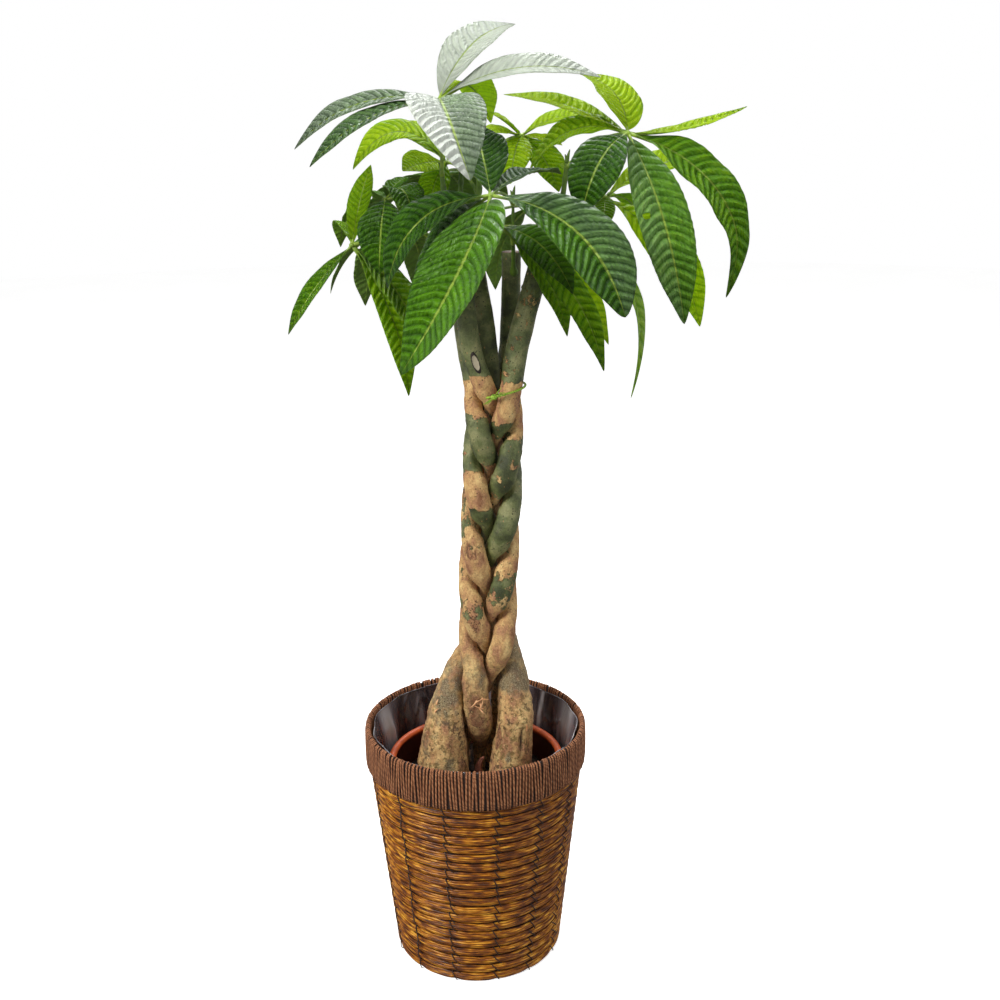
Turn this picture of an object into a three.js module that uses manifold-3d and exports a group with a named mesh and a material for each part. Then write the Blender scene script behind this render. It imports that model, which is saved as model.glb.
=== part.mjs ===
// Potted money tree: five trunks plaited together, standing in a plastic nursery pot,
// which stands in a film-lined basket of coiled straw with a cord-wrapped rim.
// Millimetres, +Z up, front towards -Y, origin at the centre of the basket's underside.

import * as THREE from 'three';
import { mergeVertices } from 'three/addons/utils/BufferGeometryUtils.js';
import Module from 'manifold-3d';

const wasm = await Module();
wasm.setup();

// Driving dimensions

const FIT_GAP = 0.3;                 // clearance kept between pieces that touch

const BASKET_BASE_R = 101.5;         // outer radius at the floor
const BASKET_NECK_R = 128;           // outer radius where the cord band starts
const BASKET_TOP_Z = 292;            // top of the straw wall, inside the band
const WALL = 5;                      // straw wall thickness
const COIL_ROWS = 20;
const COIL_BULGE = 2.4;              // how far each coil stands out of its groove
const BASKET_FLOOR = 7;
const BASKET_SIDES = 22;

const BAND_R = 132.5;                // crest of the wrapped cord
const BAND_FOOT_Z = 246;             // lower edge of the cord band
const BAND_TOP_Z = 297;
const BAND_RIDGES = 34;              // fewer and larger than the real turns of cord
const BAND_RELIEF = 1.6;             // depth of the furrows between the ridges
const BAND_GAP = 0.7;                // room for the wall's corners inside the band
const BAND_LIP = 2.2;                // thickness of the cord inside the rim
const BAND_LIP_DEPTH = 30;           // how far the cord goes down inside the wall
const BAND_ROUND = 6;                // height of the band's rounded edges

const LINER_FILM = 1;
const LINER_TOP_Z = 291;
const LINER_FACETS = 12;
const LINER_FOLD = 2.5;              // how far a fold pulls the film inwards
const LINER_GAP = 1.2;               // room between the film and what it hangs in

const POT_RIM_R = 105;
const POT_RIM_Z = 250;
const POT_BASE_R = 77;
const POT_WALL = 1.6;
const POT_LIP = 4;                   // how far the rolled rim stands out of the wall
const POT_LIP_DEPTH = 14;
const POT_SIDES = 20;
const DRAIN_HOLES = 5;
const DRAIN_R = 7;
const DRAIN_CIRCLE = 0.6;            // circle of the holes, as a share of the base radius

const SOIL_Z = 221;
const SOIL_EDGE_DROP = 6;            // the soil is lower where it meets the pot
const SOIL_EDGE_GAP = 3;

const PLAIT_PERIOD = 357;            // height in which a trunk returns to its place
const PLAIT_MARK_Z = 604;            // height at which the first trunk crosses the middle
const PLAIT_HALF_WIDTH = 21;
const PLAIT_HALF_DEPTH = 20;
const PLAIT_R = 13.4;                // radius of a trunk low in the plait
const PLAIT_THIN_R = 12;             // and at its top
const PLAIT_END_Z = 700;             // above this the trunks part
const TRUNK_FOOT_Z = 185;
const TRUNK_SIDES = 8;
const TRUNK_STEP = 12;               // height between the outlines of a trunk
const TRUNK_TOP_STEPS = 6;
const TRUNK_GAP = 1.6;               // furrow between trunks that press on each other

const TIE_R = 1.4;
const TIE_Z = 697;
const TIE_RISE = 8.5;                // the loop sits higher on its right side
const TIE_KNOT_R = 3.4;
const TIE_KNOT_TURN = 0.75;          // the knot is in front, in turns from +X
const TIE_TAILS = [[-9, -3, -7], [7, -4, 6], [10, -3, 1]];

const SHOOT_R = 5;
const SHOOT_TIP_R = 3.2;

const BLADE = 0.9;                   // leaflet thickness
const PETIOLE_R = 1.7;
const HUB_R = 4.2;                   // knuckle that the leaflets of a leaf spread from
const STALK_HALF_WIDTH = 1.3;
const STALK_SHARE = 0.04;            // bare part of a leaflet, as a share of its length
const FOLD = 0.22;                   // rise of each half blade from the midrib to the edge
const WAVE = 0.05;                   // edge wave as a share of the width
const WAVE_TURNS = 19;               // radians of edge wave from a leaflet's foot to its tip

// Colours

const finish = (color, roughness) => new THREE.MeshStandardMaterial({ color, roughness, metalness: 0 });
const STRAW = finish(0x7a4a1c, 0.5);
const CORD = finish(0x573422, 0.9);
const FILM = finish(0x8a8484, 0.25);
const TERRACOTTA = finish(0xa8481f, 0.5);
const SOIL = finish(0x2c211b, 1);
const BARK = finish(0x7d7350, 0.85);
const TWINE = finish(0x6f9c33, 0.6);
const GREEN_STEM = finish(0x6d9a2c, 0.5);
const LEAF = finish(0x2f6a25, 0.4);

const tree = new THREE.Group();

function addPiece(name, geometry, material) {
  const mesh = new THREE.Mesh(geometry, material);
  mesh.name = name;
  tree.add(mesh);
}

// Solids and meshes

function toSolid(geometry) {
  const bare = geometry.clone();
  bare.deleteAttribute('normal');
  bare.deleteAttribute('uv');
  const merged = mergeVertices(bare, 1e-4);
  return new wasm.Manifold(new wasm.Mesh({
    numProp: 3,
    vertProperties: new Float32Array(merged.attributes.position.array),
    triVerts: new Uint32Array(merged.index.array),
  }));
}

function toGeometry(solid) {
  const mesh = solid.getMesh();
  const geometry = new THREE.BufferGeometry();
  geometry.setAttribute('position', new THREE.BufferAttribute(new Float32Array(mesh.vertProperties), 3));
  geometry.setIndex(new THREE.BufferAttribute(new Uint32Array(mesh.triVerts), 1));
  return geometry;
}

// Skin over a row of rings, each running anticlockwise seen from the last ring's end.
// Sides listed in turned are split along their other diagonal.
function loft(rings, turned = []) {
  const count = rings[0].length;
  const points = rings.flat();
  const faces = [];
  for (let i = 0; i + 1 < rings.length; i += 1) {
    for (let j = 0; j < count; j += 1) {
      const a = i * count + j;
      const b = i * count + ((j + 1) % count);
      const c = b + count;
      const d = a + count;
      if (turned.includes(j)) {
        faces.push(a, b, d, b, c, d);
      } else {
        faces.push(a, b, c, a, c, d);
      }
    }
  }
  const last = (rings.length - 1) * count;
  for (let j = 1; j + 1 < count; j += 1) {
    faces.push(0, j + 1, j);
    faces.push(last, last + j, last + j + 1);
  }
  const geometry = new THREE.BufferGeometry().setFromPoints(points);
  geometry.setIndex(faces);
  return geometry;
}

// Closed ring of revolution whose radius may also change round the turn.
function turnedRing(profile, sides, relief = () => 0) {
  const points = [];
  const faces = [];
  const count = profile.length;
  for (let i = 0; i < sides; i += 1) {
    const angle = (2 * Math.PI * i) / sides;
    profile.forEach(([radius, z, share]) => {
      const r = radius + share * relief(i);
      points.push(new THREE.Vector3(r * Math.cos(angle), r * Math.sin(angle), z));
    });
    const next = (i + 1) % sides;
    for (let j = 0; j < count; j += 1) {
      const k = (j + 1) % count;
      faces.push(i * count + j, next * count + j, next * count + k);
      faces.push(i * count + j, next * count + k, i * count + k);
    }
  }
  const geometry = new THREE.BufferGeometry().setFromPoints(points);
  geometry.setIndex(faces);
  return geometry;
}

function turnedCup(profile, sides) {
  const outline = profile.map(([radius, z]) => new THREE.Vector2(radius, z));
  const cup = new THREE.LatheGeometry(outline, sides);
  cup.rotateX(Math.PI / 2);
  return cup;
}

// Basket of coiled straw

const wallSlope = (BASKET_NECK_R - BASKET_BASE_R) / BAND_FOOT_Z;
const wallRadius = (z) => BASKET_BASE_R + wallSlope * z;

const bandSeatR = BASKET_NECK_R - COIL_BULGE;
const insideTopR = bandSeatR - WALL + COIL_BULGE;
const insideFootR = wallRadius(BASKET_FLOOR) - COIL_BULGE - WALL;

function basketProfile() {
  const outline = [[0, 0], [BASKET_BASE_R - COIL_BULGE, 0]];
  const pitch = BAND_FOOT_Z / COIL_ROWS;
  for (let row = 0; row < COIL_ROWS; row += 1) {
    const middle = (row + 0.5) * pitch;
    outline.push([wallRadius(middle), middle]);
    if (row + 1 < COIL_ROWS) {
      const groove = (row + 1) * pitch;
      outline.push([wallRadius(groove) - COIL_BULGE, groove]);
    }
  }
  outline.push([bandSeatR, BAND_FOOT_Z - FIT_GAP]);
  outline.push([bandSeatR, BASKET_TOP_Z]);
  outline.push([insideTopR, BASKET_TOP_Z]);
  outline.push([insideTopR, BAND_FOOT_Z]);
  outline.push([insideFootR, BASKET_FLOOR]);
  outline.push([0, BASKET_FLOOR]);
  return outline;
}

addPiece('basket', turnedCup(basketProfile(), BASKET_SIDES), STRAW);

// Cord band wrapped over the rim of the basket

// The flats of a many-sided ring lie nearer its axis than its corners.
const flatShare = Math.cos(Math.PI / BASKET_SIDES);
const bandInnerR = insideTopR * flatShare - BAND_GAP;
const bandLipR = bandInnerR - BAND_LIP;

// Radius, height and share of the ridges' relief at each corner of the band's section.
function bandProfile() {
  const outside = bandSeatR + BAND_GAP;
  const lipFoot = BASKET_TOP_Z - BAND_LIP_DEPTH;
  const roof = BASKET_TOP_Z + BAND_GAP;
  return [
    [outside, BAND_FOOT_Z, 0],
    [BAND_R - BAND_ROUND / 3, BAND_FOOT_Z, 0.5],
    [BAND_R, BAND_FOOT_Z + BAND_ROUND, 1],
    [BAND_R, BAND_TOP_Z - BAND_ROUND, 1],
    [BAND_R - BAND_ROUND, BAND_TOP_Z, 1],
    [bandLipR, BAND_TOP_Z - BAND_ROUND, 0],
    [bandLipR, lipFoot, 0],
    [bandInnerR, lipFoot, 0],
    [bandInnerR, roof, 0],
    [outside, roof, 0],
  ];
}

const bandRelief = (i) => (i % 2 === 0 ? 0 : -BAND_RELIEF);
addPiece('rim_band', turnedRing(bandProfile(), 2 * BAND_RIDGES, bandRelief), CORD);

// Film liner, folded into flats by hand

function folded(radius, z) {
  const ring = [];
  for (let i = 0; i < 2 * LINER_FACETS; i += 1) {
    const angle = (Math.PI * i) / LINER_FACETS;
    const r = i % 2 === 0 ? radius : radius - LINER_FOLD;
    ring.push(new THREE.Vector3(r * Math.cos(angle), r * Math.sin(angle), z));
  }
  return ring;
}

function linerGeometry() {
  const floor = BASKET_FLOOR + FIT_GAP;
  const foot = insideFootR * flatShare - LINER_GAP;
  const top = bandLipR - LINER_GAP;
  const outer = [[foot, floor], [top, BASKET_TOP_Z - BAND_LIP_DEPTH], [top, LINER_TOP_Z]];
  const inner = [[foot, floor + LINER_FILM], ...outer.slice(1)];
  const outerRings = outer.map(([radius, z]) => folded(radius, z));
  const innerRings = inner.map(([radius, z]) => folded(radius - LINER_FILM, z));
  return loft([...outerRings, ...innerRings.reverse()]);
}

addPiece('liner', linerGeometry(), FILM);

// Nursery pot with a rolled rim and drain holes

const potFloorZ = BASKET_FLOOR + 2 * FIT_GAP + LINER_FILM;
const potSlope = (POT_RIM_R - POT_LIP - POT_BASE_R) / (POT_RIM_Z - potFloorZ);
const potRadius = (z) => POT_BASE_R + potSlope * (z - potFloorZ);

function nurseryPot() {
  const lipFoot = POT_RIM_Z - POT_LIP_DEPTH;
  const lipShoulder = POT_RIM_Z - 2 * POT_WALL;
  const outline = [
    [0, potFloorZ],
    [POT_BASE_R, potFloorZ],
    [potRadius(lipFoot), lipFoot],
    [POT_RIM_R - POT_WALL / 3, lipFoot + POT_WALL],
    [POT_RIM_R, lipShoulder],
    [POT_RIM_R - POT_WALL, POT_RIM_Z],
    [POT_RIM_R - POT_LIP, POT_RIM_Z],
    [POT_RIM_R - POT_LIP - POT_WALL, lipShoulder],
    [potRadius(potFloorZ + POT_WALL) - POT_WALL, potFloorZ + POT_WALL],
    [0, potFloorZ + POT_WALL],
  ];
  let pot = toSolid(turnedCup(outline, POT_SIDES));
  const circleR = DRAIN_CIRCLE * POT_BASE_R;
  for (let i = 0; i < DRAIN_HOLES; i += 1) {
    const angle = (2 * Math.PI * i) / DRAIN_HOLES;
    const drill = new THREE.CylinderGeometry(DRAIN_R, DRAIN_R, 6 * POT_WALL, 10);
    drill.rotateX(Math.PI / 2);
    drill.translate(circleR * Math.cos(angle), circleR * Math.sin(angle), potFloorZ);
    pot = pot.subtract(toSolid(drill));
  }
  return pot;
}

addPiece('nursery_pot', toGeometry(nurseryPot()), TERRACOTTA);

// The five trunks. Each has a foot in the soil, a turn in the plait and a bare top.

// Foot and top stations give height, x, y and radius. Between them the plait rules.
const TRUNKS = [
  {
    name: 'trunk_left',
    foot: [
      [185, -40, -22, 31], [245, -39, -22, 30], [285, -37, -20, 25.5],
      [322, -31, -15, 22], [362, -17, 2, 18],
    ],
    plaitFrom: 402,
    top: [[760, -4, 26, 10.8], [810, -8, 33, 10.4], [860, -11, 40, 10]],
  },
  {
    name: 'trunk_back_left',
    foot: [[185, -30, 40, 23], [245, -28, 38, 22], [290, -14, 30, 18], [325, 1, 19, 15.5]],
    plaitFrom: 350,
    top: [[772, 18, 9, 11.2], [815, 11, 15, 10.8], [858, 6, 20, 10.4]],
  },
  {
    name: 'trunk_right',
    foot: [
      [185, 41, -22, 25.5], [245, 42, -22, 25], [285, 46, -19, 21.5],
      [322, 48, -15, 20], [362, 43, -3, 17.5],
    ],
    plaitFrom: 402,
    top: [[750, 54, -14, 12.5], [810, 70, -12, 11.5], [872, 88, -4, 10.6]],
  },
  {
    name: 'trunk_back_right',
    foot: [[185, 34, 40, 23], [245, 33, 39, 22], [295, 37, 33, 18], [335, 35, 23, 15.5]],
    plaitFrom: 368,
    top: [[750, 46, 19, 11], [800, 48, 20, 10.6], [847, 49, 19, 10.4]],
  },
  {
    name: 'trunk_front',
    foot: [[185, 4, 14, 7], [245, 5, 8, 8], [268, 6, 0, 12.5], [294, 4, -12, 17], [328, 0, -18, 18]],
    plaitFrom: 370,
    top: [[744, 4, -17, 11], [800, -3, -14, 10.8], [864, -9, -10, 10.4]],
  },
];

const mix = (a, b, t) => a + (b - a) * t;
const ease = (t) => {
  const s = Math.min(1, Math.max(0, t));
  return s * s * (3 - 2 * s);
};

// The whole plait stands a little to the right and leans further right as it rises.
const axisX = (z) => mix(17, 27, ease((z - 420) / 260));

// Seen from above, each trunk of the plait runs round one figure of eight.
function plaitStation(k, z) {
  const turns = (z - PLAIT_MARK_Z) / PLAIT_PERIOD + k / TRUNKS.length;
  const angle = Math.PI / 2 + 2 * Math.PI * turns;
  const x = axisX(z) + PLAIT_HALF_WIDTH * Math.cos(angle);
  const y = PLAIT_HALF_DEPTH * Math.sin(2 * angle);
  return [z, x, y, mix(PLAIT_R, PLAIT_THIN_R, ease((z - PLAIT_END_Z) / 100 + 1))];
}

const topHeight = (k) => TRUNKS[k].top[TRUNKS[k].top.length - 1][0];

// Smooth curve through stations whose heights rise, read at one height.
function throughStations(stations, z) {
  let i = 0;
  while (i + 2 < stations.length && z > stations[i + 1][0]) {
    i += 1;
  }
  const before = stations[Math.max(0, i - 1)];
  const [a, b] = [stations[i], stations[i + 1]];
  const after = stations[Math.min(stations.length - 1, i + 2)];
  const span = b[0] - a[0];
  const t = (z - a[0]) / span;
  const startShare = 2 * t ** 3 - 3 * t ** 2 + 1;
  return [1, 2, 3].map((c) => {
    const startSlope = ((b[c] - before[c]) / (b[0] - before[0])) * span;
    const endSlope = ((after[c] - a[c]) / (after[0] - a[0])) * span;
    const swing = (t ** 3 - 2 * t ** 2 + t) * startSlope + (t ** 3 - t ** 2) * endSlope;
    return startShare * a[c] + (1 - startShare) * b[c] + swing;
  });
}

// Centre and radius of trunk k at height z.
function trunkAt(k, z) {
  const { foot, top, plaitFrom } = TRUNKS[k];
  if (z < plaitFrom) {
    return throughStations([...foot, plaitStation(k, plaitFrom), plaitStation(k, plaitFrom + 20)], z);
  }
  if (z > PLAIT_END_Z) {
    return throughStations([plaitStation(k, PLAIT_END_Z - 20), plaitStation(k, PLAIT_END_Z), ...top], z);
  }
  return plaitStation(k, z).slice(1);
}

// How far trunk k may reach in direction u before it presses on a neighbour at height z.
function pressedReach(k, u, z) {
  const [x, y, radius] = trunkAt(k, z);
  let reach = Infinity;
  TRUNKS.forEach((other, m) => {
    if (m === k || z > topHeight(m) + TRUNK_STEP) {
      return;
    }
    const [ox, oy, otherRadius] = trunkAt(m, Math.min(z, topHeight(m)));
    const apart = new THREE.Vector2(ox - x, oy - y);
    const d = apart.length();
    const wall = (d * d + radius ** 2 - otherRadius ** 2) / (2 * d) - TRUNK_GAP / 2;
    const towards = u.dot(apart) / d;
    if (towards > 0.05) {
      reach = Math.min(reach, wall / towards);
    }
  });
  return reach;
}

// Outline of one trunk at one height: round, and flattened where it presses on a neighbour.
function trunkOutline(k, z, extra = 0) {
  const [x, y, radius] = trunkAt(k, z);
  const [x2, y2] = trunkAt(k, z - 1);
  const slope = new THREE.Vector2(x - x2, y - y2);
  const stretch = Math.hypot(1, slope.length());
  const along = slope.length() > 0.001 ? slope.clone().normalize() : new THREE.Vector2(1, 0);
  const ring = [];
  for (let j = 0; j < TRUNK_SIDES; j += 1) {
    const angle = (2 * Math.PI * j) / TRUNK_SIDES;
    const u = new THREE.Vector2(Math.cos(angle), Math.sin(angle));
    const round = radius / Math.hypot(u.dot(along) / stretch, u.cross(along));
    const pressed = [-0.5, 0, 0.5].map((share) => pressedReach(k, u, z + share * TRUNK_STEP));
    const reach = Math.min(round, ...pressed) + extra;
    ring.push(new THREE.Vector3(x + reach * u.x, y + reach * u.y, z));
  }
  return ring;
}

function trunkHeights(top) {
  const heights = [TRUNK_FOOT_Z, SOIL_Z];
  for (let z = SOIL_Z + TRUNK_STEP + 2; z < PLAIT_END_Z + 20; z += TRUNK_STEP) {
    heights.push(z);
  }
  const start = heights[heights.length - 1];
  for (let i = 1; i <= TRUNK_TOP_STEPS; i += 1) {
    heights.push(mix(start, top, i / TRUNK_TOP_STEPS));
  }
  return heights;
}

function trunkGeometry(k, extra = 0) {
  const heights = trunkHeights(topHeight(k));
  const last = heights.length - 1;
  const rings = heights.map((z) => trunkOutline(k, z, extra));
  rings[0].forEach((point) => point.setZ(point.z - extra));
  rings[last].forEach((point) => point.setZ(point.z + extra));
  return loft(rings);
}

TRUNKS.forEach((trunk, k) => addPiece(trunk.name, trunkGeometry(k), BARK));

// Soil that fills the pot round the feet of the trunks, crumbled into low mounds

const soilMound = (r, angle) => 2.2 * Math.sin(5 * angle + r / 9) + 1.6 * Math.cos(3 * angle - r / 14);

function soilRing(radius, z, moundShare) {
  const sides = 16;
  const ring = [];
  for (let j = 0; j < sides; j += 1) {
    const angle = (2 * Math.PI * j) / sides;
    const height = z + moundShare * soilMound(radius, angle);
    ring.push(new THREE.Vector3(radius * Math.cos(angle), radius * Math.sin(angle), height));
  }
  return ring;
}

function soilPlug() {
  const topRings = 5;
  const middleR = 8;
  const potFlatShare = Math.cos(Math.PI / POT_SIDES);
  const floorZ = potFloorZ + POT_WALL;
  const edgeZ = SOIL_Z - SOIL_EDGE_DROP;
  const footR = (potRadius(floorZ) - POT_WALL - SOIL_EDGE_GAP) * potFlatShare;
  const edgeR = (potRadius(edgeZ) - POT_WALL - SOIL_EDGE_GAP) * potFlatShare;
  const levels = [soilRing(footR, floorZ + FIT_GAP, 0), soilRing(edgeR, edgeZ, 0)];
  for (let i = 0; i < topRings; i += 1) {
    levels.push(soilRing(mix(edgeR - SOIL_EDGE_DROP, middleR, i / (topRings - 1)), SOIL_Z, 1));
  }
  let soil = toSolid(loft(levels));
  TRUNKS.forEach((trunk, k) => {
    soil = soil.subtract(toSolid(trunkGeometry(k, FIT_GAP)));
  });
  return soil;
}

addPiece('soil', toGeometry(soilPlug()), SOIL);

// Tubes of round section along a curve, tapering from one radius to the other

function tube(curve, startR, endR, sides, steps) {
  const rings = [];
  let side = null;
  for (let i = 0; i <= steps; i += 1) {
    const t = i / steps;
    const centre = curve.getPoint(t);
    const ahead = curve.getTangent(t);
    if (side === null) {
      side = Math.abs(ahead.x) < 0.9 ? new THREE.Vector3(1, 0, 0) : new THREE.Vector3(0, 1, 0);
    }
    side.addScaledVector(ahead, -side.dot(ahead)).normalize();
    const up = ahead.clone().cross(side);
    const radius = mix(startR, endR, t);
    const ring = [];
    for (let j = 0; j < sides; j += 1) {
      const angle = (2 * Math.PI * j) / sides;
      const point = centre.clone().addScaledVector(side, radius * Math.cos(angle));
      ring.push(point.addScaledVector(up, radius * Math.sin(angle)));
    }
    rings.push(ring);
  }
  return loft(rings);
}

// Green twine tied round the top of the plait

// Farthest reach of the trunks from the plait's axis in direction u, close to height z.
function plaitReach(u, z) {
  const near = 5;
  let reach = 0;
  TRUNKS.forEach((trunk, k) => {
    [z - near, z, z + near].forEach((level) => {
      trunkOutline(k, level).forEach((point) => {
        reach = Math.max(reach, (point.x - axisX(TIE_Z)) * u.x + point.y * u.y);
      });
    });
  });
  return reach;
}

function tieLoop() {
  const count = 24;
  const path = [];
  for (let i = 0; i < count; i += 1) {
    const angle = (2 * Math.PI * i) / count;
    const u = new THREE.Vector2(Math.cos(angle), Math.sin(angle));
    const z = TIE_Z + TIE_RISE * u.x;
    const r = plaitReach(u, z) + TIE_R + FIT_GAP;
    path.push(new THREE.Vector3(axisX(TIE_Z) + r * u.x, r * u.y, z));
  }
  return new THREE.CatmullRomCurve3(path, true);
}

function tieSolid() {
  const loop = tieLoop();
  const steps = 28;
  const sides = 5;
  const rings = [];
  for (let i = 0; i < steps; i += 1) {
    const at = loop.getPoint(i / steps);
    const ahead = loop.getTangent(i / steps);
    const out = ahead.clone().cross(new THREE.Vector3(0, 0, 1)).normalize();
    const up = ahead.clone().cross(out);
    const ring = [];
    for (let j = 0; j < sides; j += 1) {
      const turn = (2 * Math.PI * j) / sides;
      const point = at.clone().addScaledVector(out, TIE_R * Math.cos(turn));
      ring.push(point.addScaledVector(up, TIE_R * Math.sin(turn)));
    }
    rings.push(ring);
  }
  const knotAt = loop.getPoint(TIE_KNOT_TURN);
  const outwards = new THREE.Vector3(knotAt.x - axisX(TIE_Z), knotAt.y, 0).normalize();
  const middle = knotAt.clone().addScaledVector(outwards, TIE_KNOT_R - TIE_R / 2);
  const knot = new THREE.SphereGeometry(TIE_KNOT_R, 6, 4);
  knot.translate(middle.x, middle.y, middle.z);
  let tie = toSolid(closedLoop(rings)).add(toSolid(knot));
  TIE_TAILS.forEach(([dx, dy, dz]) => {
    const end = middle.clone().add(new THREE.Vector3(dx, dy, dz));
    tie = tie.add(toSolid(tube(new THREE.LineCurve3(middle, end), 0.6 * TIE_R, 0.4 * TIE_R, sides, 1)));
  });
  return tie;
}

function closedLoop(rings) {
  const count = rings[0].length;
  const faces = [];
  rings.forEach((ring, i) => {
    const next = (i + 1) % rings.length;
    for (let j = 0; j < count; j += 1) {
      const k = (j + 1) % count;
      faces.push(i * count + j, i * count + k, next * count + k);
      faces.push(i * count + j, next * count + k, next * count + j);
    }
  });
  const geometry = new THREE.BufferGeometry().setFromPoints(rings.flat());
  geometry.setIndex(faces);
  return geometry;
}

addPiece('tie', toGeometry(tieSolid()), TWINE);

// Green shoots that grow out of the sides of the trunk tops

const SHOOTS = {
  back: { trunk: 0, name: 'shoot_back', root: [-11, 43, 848], tip: [-4, 64, 935] },
  middle: { trunk: 3, name: 'shoot_middle', root: [51, 14, 822], tip: [50, -14, 905] },
  right: { trunk: 2, name: 'shoot_right', root: [90, -4, 860], tip: [108, 6, 940] },
  centre: { trunk: 1, name: 'shoot_centre', root: [7, 22, 846], tip: [16, 32, 940] },
  left: { trunk: 4, name: 'shoot_left', root: [-9, -12, 850], tip: [-24, -20, 935] },
};

const vec = ([x, y, z]) => new THREE.Vector3(x, y, z);

// Curve from start to end whose elbow lies at the given shares of the way across and up.
function bentCurve(start, end, acrossShare, upShare, lift) {
  const elbow = new THREE.Vector3(
    mix(start.x, end.x, acrossShare),
    mix(start.y, end.y, acrossShare),
    mix(start.z, end.z, upShare) + lift,
  );
  return new THREE.QuadraticBezierCurve3(start, elbow, end);
}

const shootCurve = (shoot) => bentCurve(vec(shoot.root), vec(shoot.tip), 0.75, 0.35, 0);
const petioleCurve = (start, hub) => bentCurve(start, hub, 0.45, 0.75, 8);

const shootSolid = (shoot, extra) => toSolid(
  tube(shootCurve(shoot), SHOOT_R + extra, SHOOT_TIP_R + extra, 7, 4),
);

Object.values(SHOOTS).forEach((shoot) => {
  const trunk = toSolid(trunkGeometry(shoot.trunk, FIT_GAP));
  addPiece(shoot.name, toGeometry(shootSolid(shoot, 0).subtract(trunk)), GREEN_STEM);
});

// Hand-shaped leaves: long-stalked, with pointed leaflets that spread from one hub.
// Each leaflet: tip from the hub in x, y and z, width, arch, sideways bend, roll in degrees.

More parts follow.
